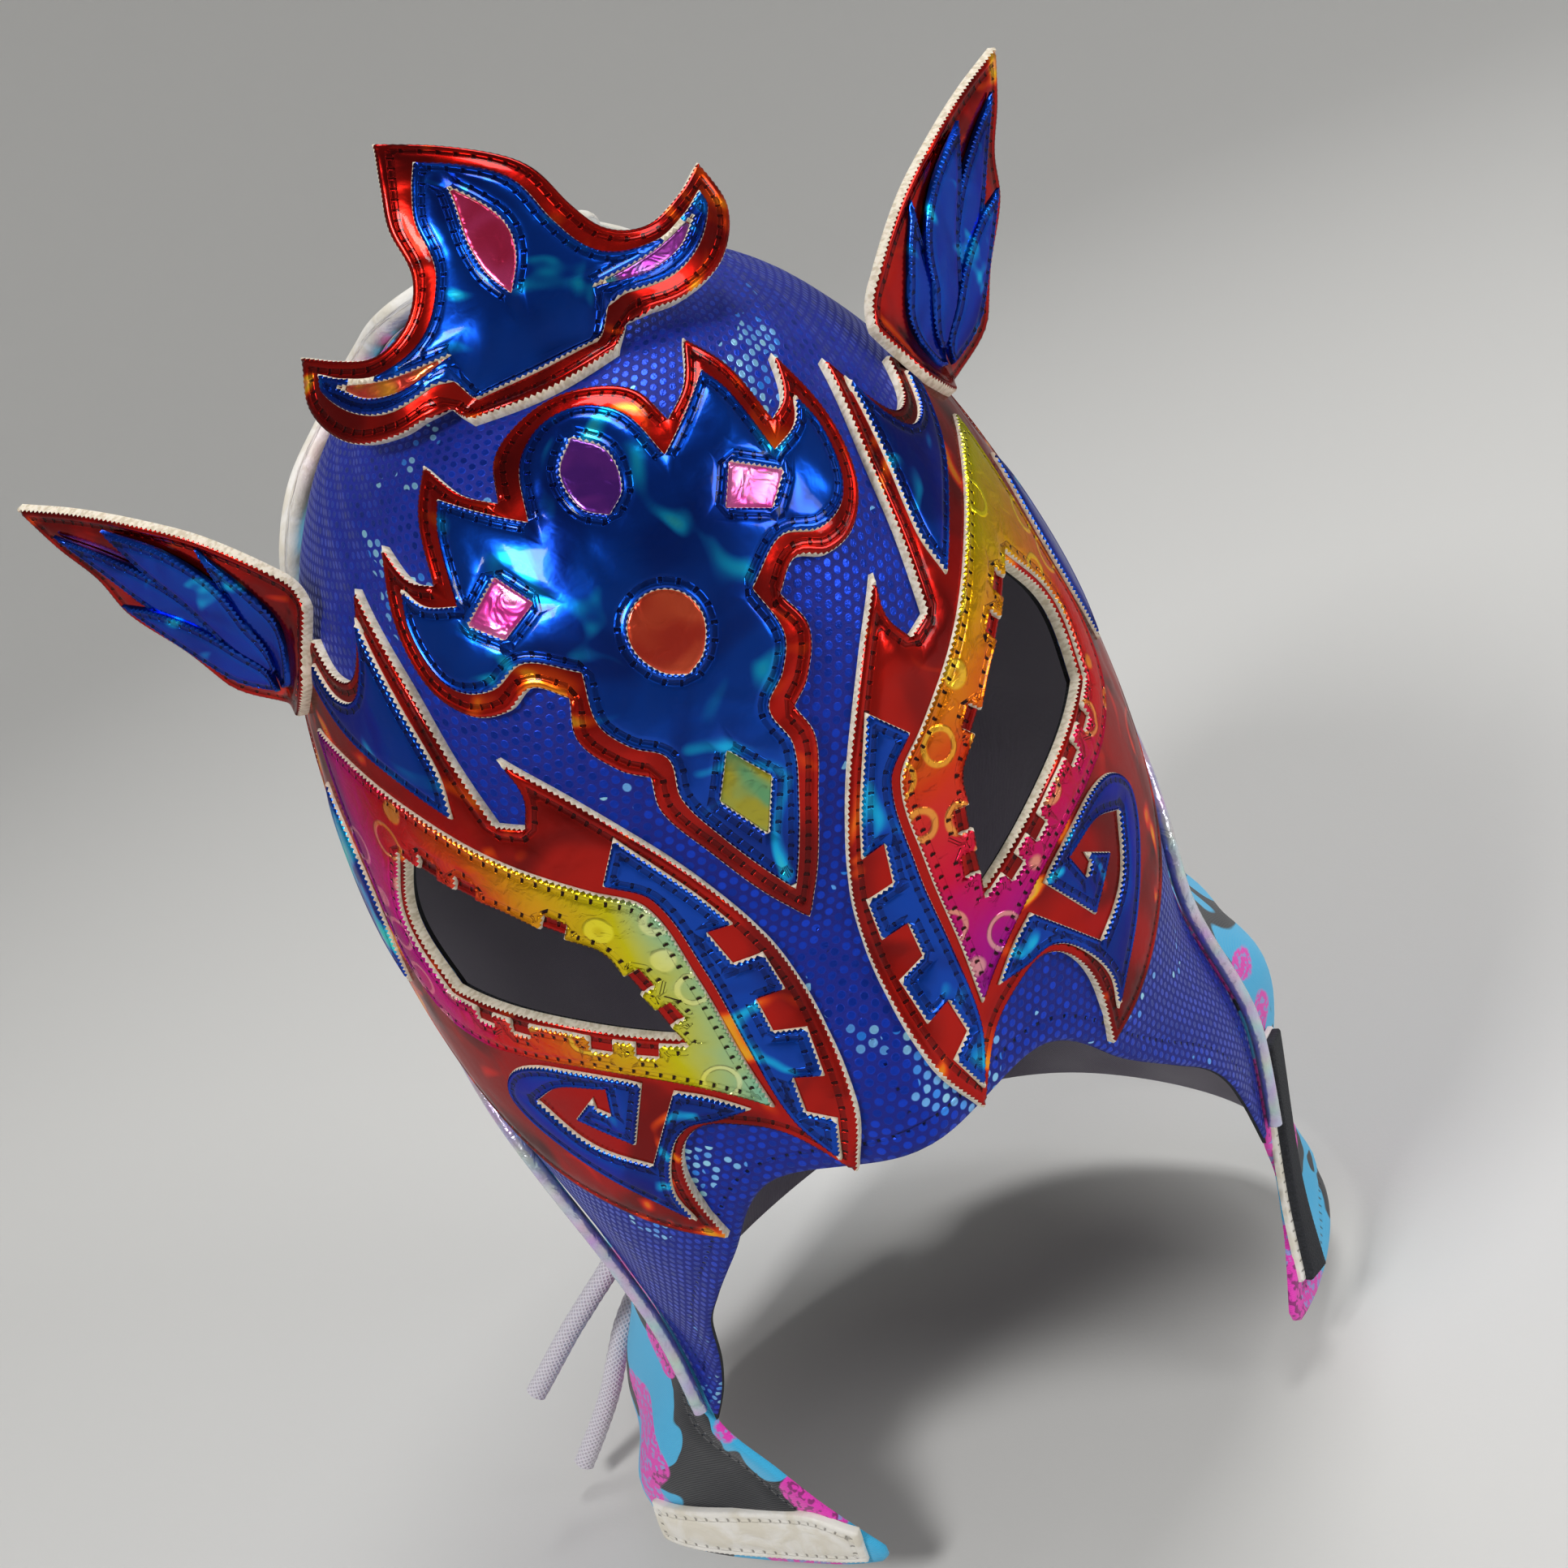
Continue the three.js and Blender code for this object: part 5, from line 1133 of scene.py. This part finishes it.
def back_relief(flat, cut):
    """Pulls from the lace rows and sagging folds low on the neck."""
    a, m = np.abs(flat[:, 0]), flat[:, 1]
    from_slit = half_round(m) - a
    pull = np.exp(-from_slit / 24) * np.cos((m - 112) * 2 * math.pi / 32) * ease((m - 90) / 20)
    folds = ease((m - 236) / 50) * np.sin((0.5 * m + 0.9 * from_slit) * 2 * math.pi / 31)
    return (0.9 * pull + 1.1 * folds + 0.35 * ripples(11, 34)(flat)) * ease(cut / 9)


def horn_chart(side):
    """Surface of a horn: p across it, and down it with a minus sign from its foot to its tip."""
    stand_out, rise = HORN_STANCE[side]
    rise = np.array(rise) / np.linalg.norm(rise)
    across = np.array(HORN_ACROSS)
    across = across - rise * (across @ rise)
    across /= np.linalg.norm(across)
    foot = face_chart(np.array([95.0]), np.array([105.0]))[0] + (stand_out, 3, 3)

    def at(p, v):
        wide, v = np.asarray(p, float) * side, np.asarray(v, float)
        on_head = face_chart(95 + wide, 105 + v + 0.45 * wide)
        free = foot - rise * v[..., None] + across * wide[..., None]
        place = on_head + (free - on_head) * ease((8 - v) / 18)[..., None]
        return place * (side, 1, 1)

    return at


def crest_chart(u, v):
    """Surface of the crest: u across it, v down from its tip side, negative above its foot."""
    u, v = np.asarray(u, float), np.asarray(v, float)
    foot = face_chart(np.array([0.0]), np.array([64.0]))[0]
    lean = math.radians(33)
    on_head = face_chart(u, 64 + np.maximum(v, -24))
    turned_tip = 0.0155 * np.maximum(-v - 26, 0) ** 2
    free = np.stack([u + 0.1 * np.maximum(-v, 0) - turned_tip, foot[1] - v * math.sin(lean) + 0.009 * u * u,
                     foot[2] - v * math.cos(lean) - 0.0033 * u * u], -1)
    lifted = -v - 2 + 0.03 * u**4 / (u * u + 14**2)
    return on_head + (free - on_head) * ease(lifted / 14)[..., None]


def downwards(points):
    return [(p[0], -p[1]) for p in points]


# Pieces

RINGS = (0.22, 0.6, 1.1, 1.6, 2.1, 2.8)
STEP = 1.1


def sewn_layer(name, outline, holes, chart, low, thick, face_finish, replaced, inset=1.7, spacing=2.2,
               relief=None, edge_width=0.2, groove=0.35, back="cut_foam", edge="cut_foam", creases=(),
               turn=None):
    """One foil or cloth piece that is sewn down along its edge."""
    loops = [rounded(outline, STEP), *[rounded(hole, STEP) for hole in holes]]
    piece = layer(name, loops, chart, low, thick, spacing, RINGS, inset=inset, groove=groove, relief=relief,
                  creases=creases, edge_width=edge_width)
    return settle(piece, (face_finish, edge, back), replaced)


def sizes():
    return bpy.context.scene.mask_sizes


BASE_LOW, TOP_LOW, HORN_LOW = 1.3, 3.2, 3.6


def build_stage():
    """Bowl-shaped pale backdrop, soft lights and the camera."""
    turns, heights = 96, []
    for r in np.linspace(0.05, 1.35, 10):
        heights.append((r, 0.0))
    for t in np.linspace(0, math.pi / 2, 16)[1:]:
        heights.append((1.35 + 1.1 * math.sin(t), 1.1 * (1 - math.cos(t))))
    heights.append((2.45, 2.6))
    points = [(r * math.cos(k), r * math.sin(k), FLOOR + z) for r,
              z in heights for k in np.linspace(0, 2 * math.pi, turns, endpoint=False)]
    faces = [(i * turns + k, i * turns + (k + 1) % turns, (i + 1) * turns + (k + 1) % turns,
              (i + 1) * turns + k) for i in range(len(heights) - 1) for k in range(turns)]
    floor = mesh_object("backdrop", np.array(points) / MM, [*faces, tuple(range(turns))[::-1]])
    floor.data.materials.append(material("backdrop_paper"))
    for name, place, size, power in LIGHTS:
        lamp = bpy.data.lights.new(name, "AREA")
        lamp.shape, lamp.size, lamp.size_y, lamp.energy = "RECTANGLE", size[0], size[1], power
        holder = bpy.data.objects.new(name, lamp)
        bpy.context.scene.collection.objects.link(holder)
        holder.location = place
        holder.rotation_euler = (Vector(AIM) - Vector(place)).to_track_quat("-Z", "Y").to_euler()
    world = bpy.data.worlds.new("soft_room")
    bpy.context.scene.world = world
    world.use_nodes = True
    sky = world.node_tree.nodes["Background"]
    sky.inputs["Color"].default_value = linear("#C9CCD2")
    sky.inputs["Strength"].default_value = ROOM_LIGHT
    bpy.context.scene.view_settings.view_transform = "Standard"

    tilt, pan, roll = (math.radians(x) for x in CAMERA_TURNS)
    ahead = Vector((0, math.cos(tilt), -math.sin(tilt)))
    right, up = Vector((1, 0, 0)), Vector((0, math.sin(tilt), math.cos(tilt)))
    look = ahead * math.cos(pan) + right * math.sin(pan)
    right = right * math.cos(pan) - ahead * math.sin(pan)
    right, up = right * math.cos(roll) - up * math.sin(roll), right * math.sin(roll) + up * math.cos(roll)
    camera = bpy.data.objects.new("camera", bpy.data.cameras.new("camera"))
    camera.data.lens, camera.data.sensor_width = 44.7, 36
    camera.data.clip_start = 0.01
    turn = Matrix((right, up, -look)).transposed().to_4x4()
    camera.matrix_world = Matrix.Translation((0, -0.4007, 0.0472)) @ turn
    bpy.context.scene.collection.objects.link(camera)
    bpy.context.scene.camera = camera


FLOOR = -0.3
AIM = (0, 0, -0.12)
ROOM_LIGHT = 0.22
CAMERA_TURNS = (23.3, 1.06, 26.5)
LIGHTS = (
    ("key_softbox", (-0.9, -0.9, 1.2), (0.45, 0.45), 17),
    ("fill_softbox", (1.2, -0.7, 0.5), (0.4, 0.8), 7),
    ("top_softbox", (0.5, 0.3, 1.3), (0.8, 0.4), 11),
)

LACE_ROW, LACE_PITCH, LACE_ROWS, LOOP_SIDE = 112, 32, 5, 15
FACING_LOW, FACING_THICK, LACE_GAP, LACE_STRAIGHT = 2.05, 1.0, 0.96, 6.8
LACE_END_ONE = [
    (-15.9, 81.3, -183.9), (-15.9, 80.3, -188.3), (-18.5, 76.8, -197.5), (-25.5, 74.2, -206),
    (-38, 69.2, -213), (-50, 62.4, -219), (-61, 54.9, -224), (-70.8, 44.4, -228.5), (-78.8, 34, -233),
    (-87, 31, -239), (-96, 30.5, -245), (-105, 30, -251), (-113, 29.5, -257), (-121, 29, -263),
]
LACE_END_TWO = [
    (15.9, 81.3, -183.9), (15.9, 80.3, -188.3), (15, 77.6, -198), (10, 77.2, -208), (0, 77, -217),
    (-13, 75.9, -224), (-27, 73, -230), (-41, 68.8, -235), (-54, 63.1, -240), (-66, 56, -245),
    (-76, 49.1, -250), (-84, 42.6, -255), (-93, 36.5, -261), (-99, 34, -268), (-105, 33, -276),
    (-113, 32, -284.5), (-121, 31, -292),
]


def plaits(turn, place):
    """Slight bumps of a round braid."""
    return 1 + 0.035 * np.maximum(np.sin(4 * turn + place * 2.1), np.sin(4 * turn - place * 2.1))


def lace_route():
    """Way of the threaded lace: two strands that cross between the rows, and a bar over the first."""
    lace = sizes().lace / MM
    height = FACING_LOW + FACING_THICK + LACE_GAP + lace / 2

    def strand(start, crossing):
        route = []
        for k in range(LACE_ROWS):
            b, m = -start if k % 2 else start, LACE_ROW + k * LACE_PITCH
            route += [(b, m - LACE_STRAIGHT / 2, height), (b, m + LACE_STRAIGHT / 2, height)]
            if k < LACE_ROWS - 1:
                route.append((0, m + LACE_PITCH / 2, crossing))
        return route

    bar = [(-LOOP_SIDE / 2, LACE_ROW - 15, height), (LOOP_SIDE / 2, LACE_ROW - 15, height)]
    route = np.array([*strand(-LOOP_SIDE, height + lace + LACE_GAP)[::-1], *bar,
                      *strand(LOOP_SIDE, height)])
    return lift(back_chart, route[:, :2], route[:, 2])


def build_laces():
    """Threaded lace, and its two free ends that hang out past the left of the neck."""
    lace = sizes().lace / MM
    for name, node, points in (("lace_tail_one", "lace_end_one", LACE_END_ONE),
                               ("lace_tail_two", "lace_end_two", LACE_END_TWO)):
        tail, line = tube(name, points, lace / 2, 24, 0.7, plaits)
        settle(tail, ["braided_polyester"], [node])
    threaded, _ = tube("threaded_lace", lace_route(), lace / 2, 24, 0.9, plaits)
    settle(threaded, ["braided_polyester"], ["lace"])


def build_hood():
    """Front panel with its eye openings, two back panels and the flap under the lacing."""
    thick = sizes().cloth / MM
    eyes = [rounded(turned(grown(EYE, 1), side), 1.6) for side in SIDES.values()]
    loops = [rounded(front_outline(), 2.2, 70), *eyes]
    front = layer("front_panel", loops, face_chart, 0, thick, 2.6, (0.8, 2.4, 4.2, 5.2, 6.4), rim=0.7,
                  inset=5.0, groove=0.3, relief=front_relief, creases=[[(0, 170), (0, 216)]],
                  edge_width=0.2)
    settle(front, ("foil_dot_stretch_knit", "black_binding", "jersey_lining"),
           ["hood_front"])
    for name, side in SIDES.items():
        loops = [rounded(turned(back_outline(46 if side < 0 else 60), side), 2.4, 70)]
        back = layer(f"back_panel_{name}", loops, face_chart, 0, thick, 2.8, (0.8, 2.4, 4.2, 5.2, 6.4),
                     rim=0.7, inset=5.0, groove=0.35, relief=back_relief, edge_width=0.2)
        settle(back, ("printed_stretch_knit", "printed_stretch_knit", "jersey_lining"),
               [f"hood_back_{name}"])
    flap = [(-SLIT_FLAP, SLIT_TOP + 4), (SLIT_FLAP, SLIT_TOP + 4), (SLIT_FLAP, NECK_BACK - 8),
            (-SLIT_FLAP, NECK_BACK - 8)]
    lining = sewn_layer("lacing_flap", flap, [], back_chart, -2.6, 1.2, "printed_stretch_knit",
                        ["lace_flap"], inset=4, spacing=3, back="jersey_lining",
                        edge="printed_stretch_knit")


def build_piping():
    """Pearly piping down the side seams and the padded roll over the crown."""
    radius = sizes().piping / MM / 2
    for name, side in SIDES.items():
        m = np.linspace(128, 303, 30)
        route = lift(face_chart, np.stack([side * seam(m), m], 1), 1.5 + 0.3 + radius)
        pipe, _ = tube(f"seam_piping_{name}", route, radius, 16, 1.2)
        settle(pipe, ["pearl_piping"], [f"piping_{name}"])
    m = 104 * (np.abs(np.arange(-10, 11)) / 10) ** 1.1
    side = np.sign(np.arange(-10, 11))
    middle, end = np.where(side > 0, 0.55, 0.33), np.where(side > 0, 0.45, 0.06)
    back = (middle + (end - middle) * ease((m - 64) / 24)) * ease((m - 18) / 30)
    flat = np.stack([side * (seam(m) + (half_round(m) - seam(m)) * back), m], 1)
    route = lift(face_chart, flat, 4.5)
    route[10] = (0, 1, 4.5)
    roll, _ = tube("padded_roll", route, 2.75, 20, 1.5)
    settle(roll, ["creased_vinyl"], ["crown_roll"])


def build_brow():
    """Brow ornament: red foam base and a blue top with five foil panes."""
    base, top = sizes().base / MM, sizes().top / MM
    sewn_layer("brow_base_foil", both_halves(BROW_BASE), [], face_chart, BASE_LOW, base,
               "red_mirror_vinyl", ["brow_base"], inset=1.9)
    panes = [
        ("top", both_halves([(0, 77), (4, 82), (3.5, 89), (0, 92)]), "pane_purple"),
        ("middle", both_halves([(0, 106), (4.6, 108.2), (6, 113), (3.5, 118), (0, 120)]), "pane_red"),
        ("low", both_halves([(0, 134), (4.6, 141), (0, 150)]), "pane_gold"),
        ("left", mirrored(SIDE_PANE), "pane_pink"),
        ("right", SIDE_PANE, "pane_pink"),
    ]
    sewn_layer("brow_top_foil", both_halves(BROW_TOP), [p[1] for p in panes], face_chart, TOP_LOW, top,
               "blue_mirror_vinyl", ["brow_top"], inset=1.5)
    for name, outline, finish in panes:
        sewn_layer(f"brow_pane_{name}", grown(outline, 0.4), [], face_chart, TOP_LOW, 0.9, finish,
                   [f"brow_window_{name}"], inset=-9, groove=0)


def build_surrounds():
    """Eye surrounds: red foam base from nose to temple, with a ring foil band and blue pieces on it."""
    base, top = sizes().base / MM, sizes().top / MM
    rows = (
        ("eye_ring", "eye_band", EYE_BAND, [squared_eye()], "ring_foil", "rainbow_foil"),
        ("nose_fret", "nose_strip", STRIP, [], "blue_mirror_vinyl", "blue_foil"),
        ("temple_tongue", "temple_flame", FLAME, [], "blue_mirror_vinyl", "blue_foil"),
        ("cheek_fret", "cheek_scroll", SCROLL, [], "blue_mirror_vinyl", "blue_foil"),
        ("temple_blade", "temple_leaf", TEMPLE_LEAF, [], "blue_mirror_vinyl", "blue_foil"),
    )
    for name, side in SIDES.items():
        holes = [turned(EYE, side), turned(TEMPLE_HOLE, side)]
        sewn_layer(f"surround_base_{name}", turned(SURROUND, side), holes, face_chart, BASE_LOW, base,
                   "red_mirror_vinyl", [f"surround_{name}"], inset=1.9)
        for piece, node, outline, cuts, finish, slot in rows:
            finish = f"{finish}_{name}" if finish == "ring_foil" else finish
            sewn_layer(f"{piece}_{name}", turned(outline, side), [turned(c, side) for c in cuts],
                       face_chart, TOP_LOW, top, finish, [f"{node}_{name}"], inset=1.5)


def build_horns():
    """Horns that rise free at the temples, each with a sprig of blue leaves."""
    base, top = sizes().base / MM, sizes().top / MM
    for name, side in SIDES.items():
        chart = horn_chart(side)
        sewn_layer(f"horn_plate_{name}", downwards(turned(HORN, side)), [], chart, HORN_LOW, base,
                   "red_mirror_vinyl", [f"horn_{name}"], inset=1.9)
        leaves = []
        for k, outline in enumerate(LEAVES):
            loops = [rounded(downwards(turned(outline, side)), STEP)]
            leaves.append(layer(f"horn_leaf_{name}_{k}", loops, chart, HORN_LOW + 2.1 + 0.45 * k, top,
                                2.0, RINGS, inset=1.2, groove=0.35, edge_width=0.2))
        settle(joined(f"horn_sprig_{name}", leaves),
               ("blue_mirror_vinyl", "cut_foam", "cut_foam"), [f"horn_leaves_{name}"])


def build_crest():
    """Crest that stands off the crown: red foam plate and a blue top with three panes."""
    base, top = sizes().base / MM, sizes().top / MM
    sewn_layer("crest_plate", downwards(both_halves(CREST_BASE)), [], crest_chart, 1.6, base,
               "red_mirror_vinyl", ["crest_base"], inset=1.9)
    panes = [
        ("middle", both_halves([(0, 19), (2.8, 25), (3.2, 32), (0, 42)]), "pane_crimson"),
        ("left", mirrored(CREST_SIDE_PANE), "pane_orange"),
        ("right", CREST_SIDE_PANE, "pane_teal"),
    ]
    sewn_layer("crest_face", downwards(both_halves(CREST_TOP)), [downwards(p[1]) for p in panes],
               crest_chart, 3.5, top, "blue_mirror_vinyl", ["crest_top"], inset=1.5)
    for name, outline, finish in panes:
        sewn_layer(f"crest_pane_{name}", grown(downwards(outline), 0.4), [], crest_chart, 3.5, 0.9,
                   finish, [f"crest_window_{name}"], inset=-9, groove=0)


def build_neck():
    """Cream band on the left neck corner, and the hook tape with its backing on the right one."""
    sewn_layer("neck_facing", mirrored(NECK_BAND), [], face_chart, 1.3, 2.1, "creased_vinyl",
               ["neck_band"], inset=2, edge="creased_vinyl", back="creased_vinyl")
    ends = np.array([(float(seam(288)) + 10, 288), (71, 344)])
    ahead = (ends[1] - ends[0]) / np.linalg.norm(ends[1] - ends[0])
    side = np.array([-ahead[1], ahead[0]])
    for piece, node, width, low, thick, finish, slot in (
            ("tape_strip", "tape_backing", 11, 1.3, 1.6, "creased_vinyl", "cream_vinyl"),
            ("hook_strip", "hook_tape", 8.2, 2.7, 2.1, "hook_pile", "black_tape")):
        half = side * width / 2
        outline = [tuple(p) for p in (ends[0] - half, ends[1] - half, ends[1] + half, ends[0] + half)]
        sewn_layer(piece, outline, [], face_chart, low, thick, finish, [node], inset=0.9,
                   groove=0.1, edge=finish, back=finish)


def build_facings():
    """Facings beside the slit, with a sewn loop for each row of the lace."""
    lace = sizes().lace / MM
    inner, wall, length = lace / 2 + LACE_GAP - 0.2, 1.2, 5.8
    height = FACING_LOW + FACING_THICK + LACE_GAP + lace / 2
    for name, side in SIDES.items():
        s = -side
        top, low = LACE_ROW - 10, LACE_ROW + (LACE_ROWS - 1) * LACE_PITCH + 10
        outline = [(s * 9, top), (s * 26, top), (s * 26, low), (s * 9, low)]
        strip = layer(f"facing_strip_{name}", [rounded(outline, STEP)], back_chart, 1.3, 1.75, 2.2, RINGS,
                      inset=2, groove=0.3)
        loops = []
        for k in range(LACE_ROWS):
            m = LACE_ROW + k * LACE_PITCH
            spot, above, along = lift(back_chart,
                                      [(s * LOOP_SIDE, m), (s * LOOP_SIDE, m), (s * LOOP_SIDE, m + 1)],
                                      [height, height + 1, height])
            up = above - spot
            up /= np.linalg.norm(up)
            along = along - spot
            along -= up * (along @ up)
            along /= np.linalg.norm(along)
            across = np.cross(up, along)
            foot = height - FACING_LOW - FACING_THICK + 0.3
            bow = [(-inner * math.cos(t), inner * math.sin(t)) for t in np.linspace(0, math.pi, 15)]
            arch = [(-inner, -foot)] + bow + [(inner, -foot)]
            arch = np.array(arch)
            outer = arch * (1 + wall / inner, 1 + wall / inner)
            outer[[0, -1], 1] = -foot
            ring = np.concatenate([arch, outer[::-1]])
            n = len(ring)
            ends = [spot + across * p[0] + up * p[1] + along * z
                    for z in (-length / 2, length / 2) for p in ring]
            half = n // 2
            faces = [(i, (i + 1) % n, n + (i + 1) % n, n + i) for i in range(n)]
            for i in range(half - 1):
                faces.append((i + 1, i, n - 1 - i, n - 2 - i))
                faces.append((n + i, n + i + 1, 2 * n - 2 - i, 2 * n - 1 - i))
            chart = np.array([(i * 2.0, z, 0) for z in (0, length) for i in range(n)])
            loop = mesh_object(f"loop_{name}_{k}", ends, faces, values={"chart": chart}, smooth=False)
            loops.append(loop)
        piece = joined(f"lacing_facing_{name}", [strip, *loops])
        settle(piece, ("creased_vinyl", "creased_vinyl", "creased_vinyl"),
               [f"lace_facing_{name}"])


# Add-on


class MASK_OT_stage(bpy.types.Operator):
    """Adds the backdrop, the lights and the camera."""

    bl_idname = "mask.stage"
    bl_label = "Stage"

    def execute(self, context):
        build_stage()
        return {"FINISHED"}


class MASK_OT_laces(bpy.types.Operator):
    """Adds the threaded lace and its free ends."""

    bl_idname = "mask.laces"
    bl_label = "Laces"

    def execute(self, context):
        build_laces()
        return {"FINISHED"}


class MASK_OT_hood(bpy.types.Operator):
    """Adds the cloth panels of the hood and its lacing flap."""

    bl_idname = "mask.hood"
    bl_label = "Hood"

    def execute(self, context):
        build_hood()
        return {"FINISHED"}


class MASK_OT_piping(bpy.types.Operator):
    """Adds the piping of the side seams and the padded roll."""

    bl_idname = "mask.piping"
    bl_label = "Piping"

    def execute(self, context):
        build_piping()
        return {"FINISHED"}


class MASK_OT_brow(bpy.types.Operator):
    """Adds the brow ornament with its panes."""

    bl_idname = "mask.brow"
    bl_label = "Brow ornament"

    def execute(self, context):
        build_brow()
        return {"FINISHED"}


class MASK_OT_surrounds(bpy.types.Operator):
    """Adds the eye surrounds and the foil pieces on them."""

    bl_idname = "mask.surrounds"
    bl_label = "Eye surrounds"

    def execute(self, context):
        build_surrounds()
        return {"FINISHED"}


class MASK_OT_horns(bpy.types.Operator):
    """Adds the horns with their leaf sprigs."""

    bl_idname = "mask.horns"
    bl_label = "Horns"

    def execute(self, context):
        build_horns()
        return {"FINISHED"}


class MASK_OT_crest(bpy.types.Operator):
    """Adds the crest with its panes."""

    bl_idname = "mask.crest"
    bl_label = "Crest"

    def execute(self, context):
        build_crest()
        return {"FINISHED"}


class MASK_OT_neck(bpy.types.Operator):
    """Adds the neck band, the hook tape and its backing."""

    bl_idname = "mask.neck"
    bl_label = "Neck pieces"

    def execute(self, context):
        build_neck()
        return {"FINISHED"}


class MASK_OT_facings(bpy.types.Operator):
    """Adds the facings of the slit with their lace loops."""

    bl_idname = "mask.facings"
    bl_label = "Lacing facings"

    def execute(self, context):
        build_facings()
        return {"FINISHED"}


OPERATORS = (MASK_OT_stage, MASK_OT_laces, MASK_OT_hood, MASK_OT_piping, MASK_OT_brow, MASK_OT_surrounds,
             MASK_OT_horns, MASK_OT_crest, MASK_OT_neck, MASK_OT_facings,)


class MASK_PT_panel(bpy.types.Panel):
    """Lists the sizes, the colours and the pieces of the mask."""

    bl_idname = "MASK_PT_panel"
    bl_label = "Laced Wrestling Mask"
    bl_space_type = "VIEW_3D"
    bl_region_type = "UI"
    bl_category = "Mask"

    def draw(self, context):
        for group in (context.scene.mask_sizes, context.scene.mask_colours):
            box = self.layout.box()
            for key in group.__annotations__:
                box.prop(group, key)
        for operator in OPERATORS:
            self.layout.operator(operator.bl_idname)


CLASSES = (MaskSizes, MaskColours, *OPERATORS, MASK_PT_panel)


def register():
    for made in CLASSES:
        bpy.utils.register_class(made)
    bpy.types.Scene.mask_sizes = bpy.props.PointerProperty(type=MaskSizes)
    bpy.types.Scene.mask_colours = bpy.props.PointerProperty(type=MaskColours)


def unregister():
    del bpy.types.Scene.mask_colours
    del bpy.types.Scene.mask_sizes
    for made in reversed(CLASSES):
        bpy.utils.unregister_class(made)


def main():
    """Registers the add-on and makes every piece."""
    register()
    for operator in OPERATORS:
        group, name = operator.bl_idname.split(".")
        getattr(getattr(bpy.ops, group), name)()


if __name__ == "__main__":
    main()
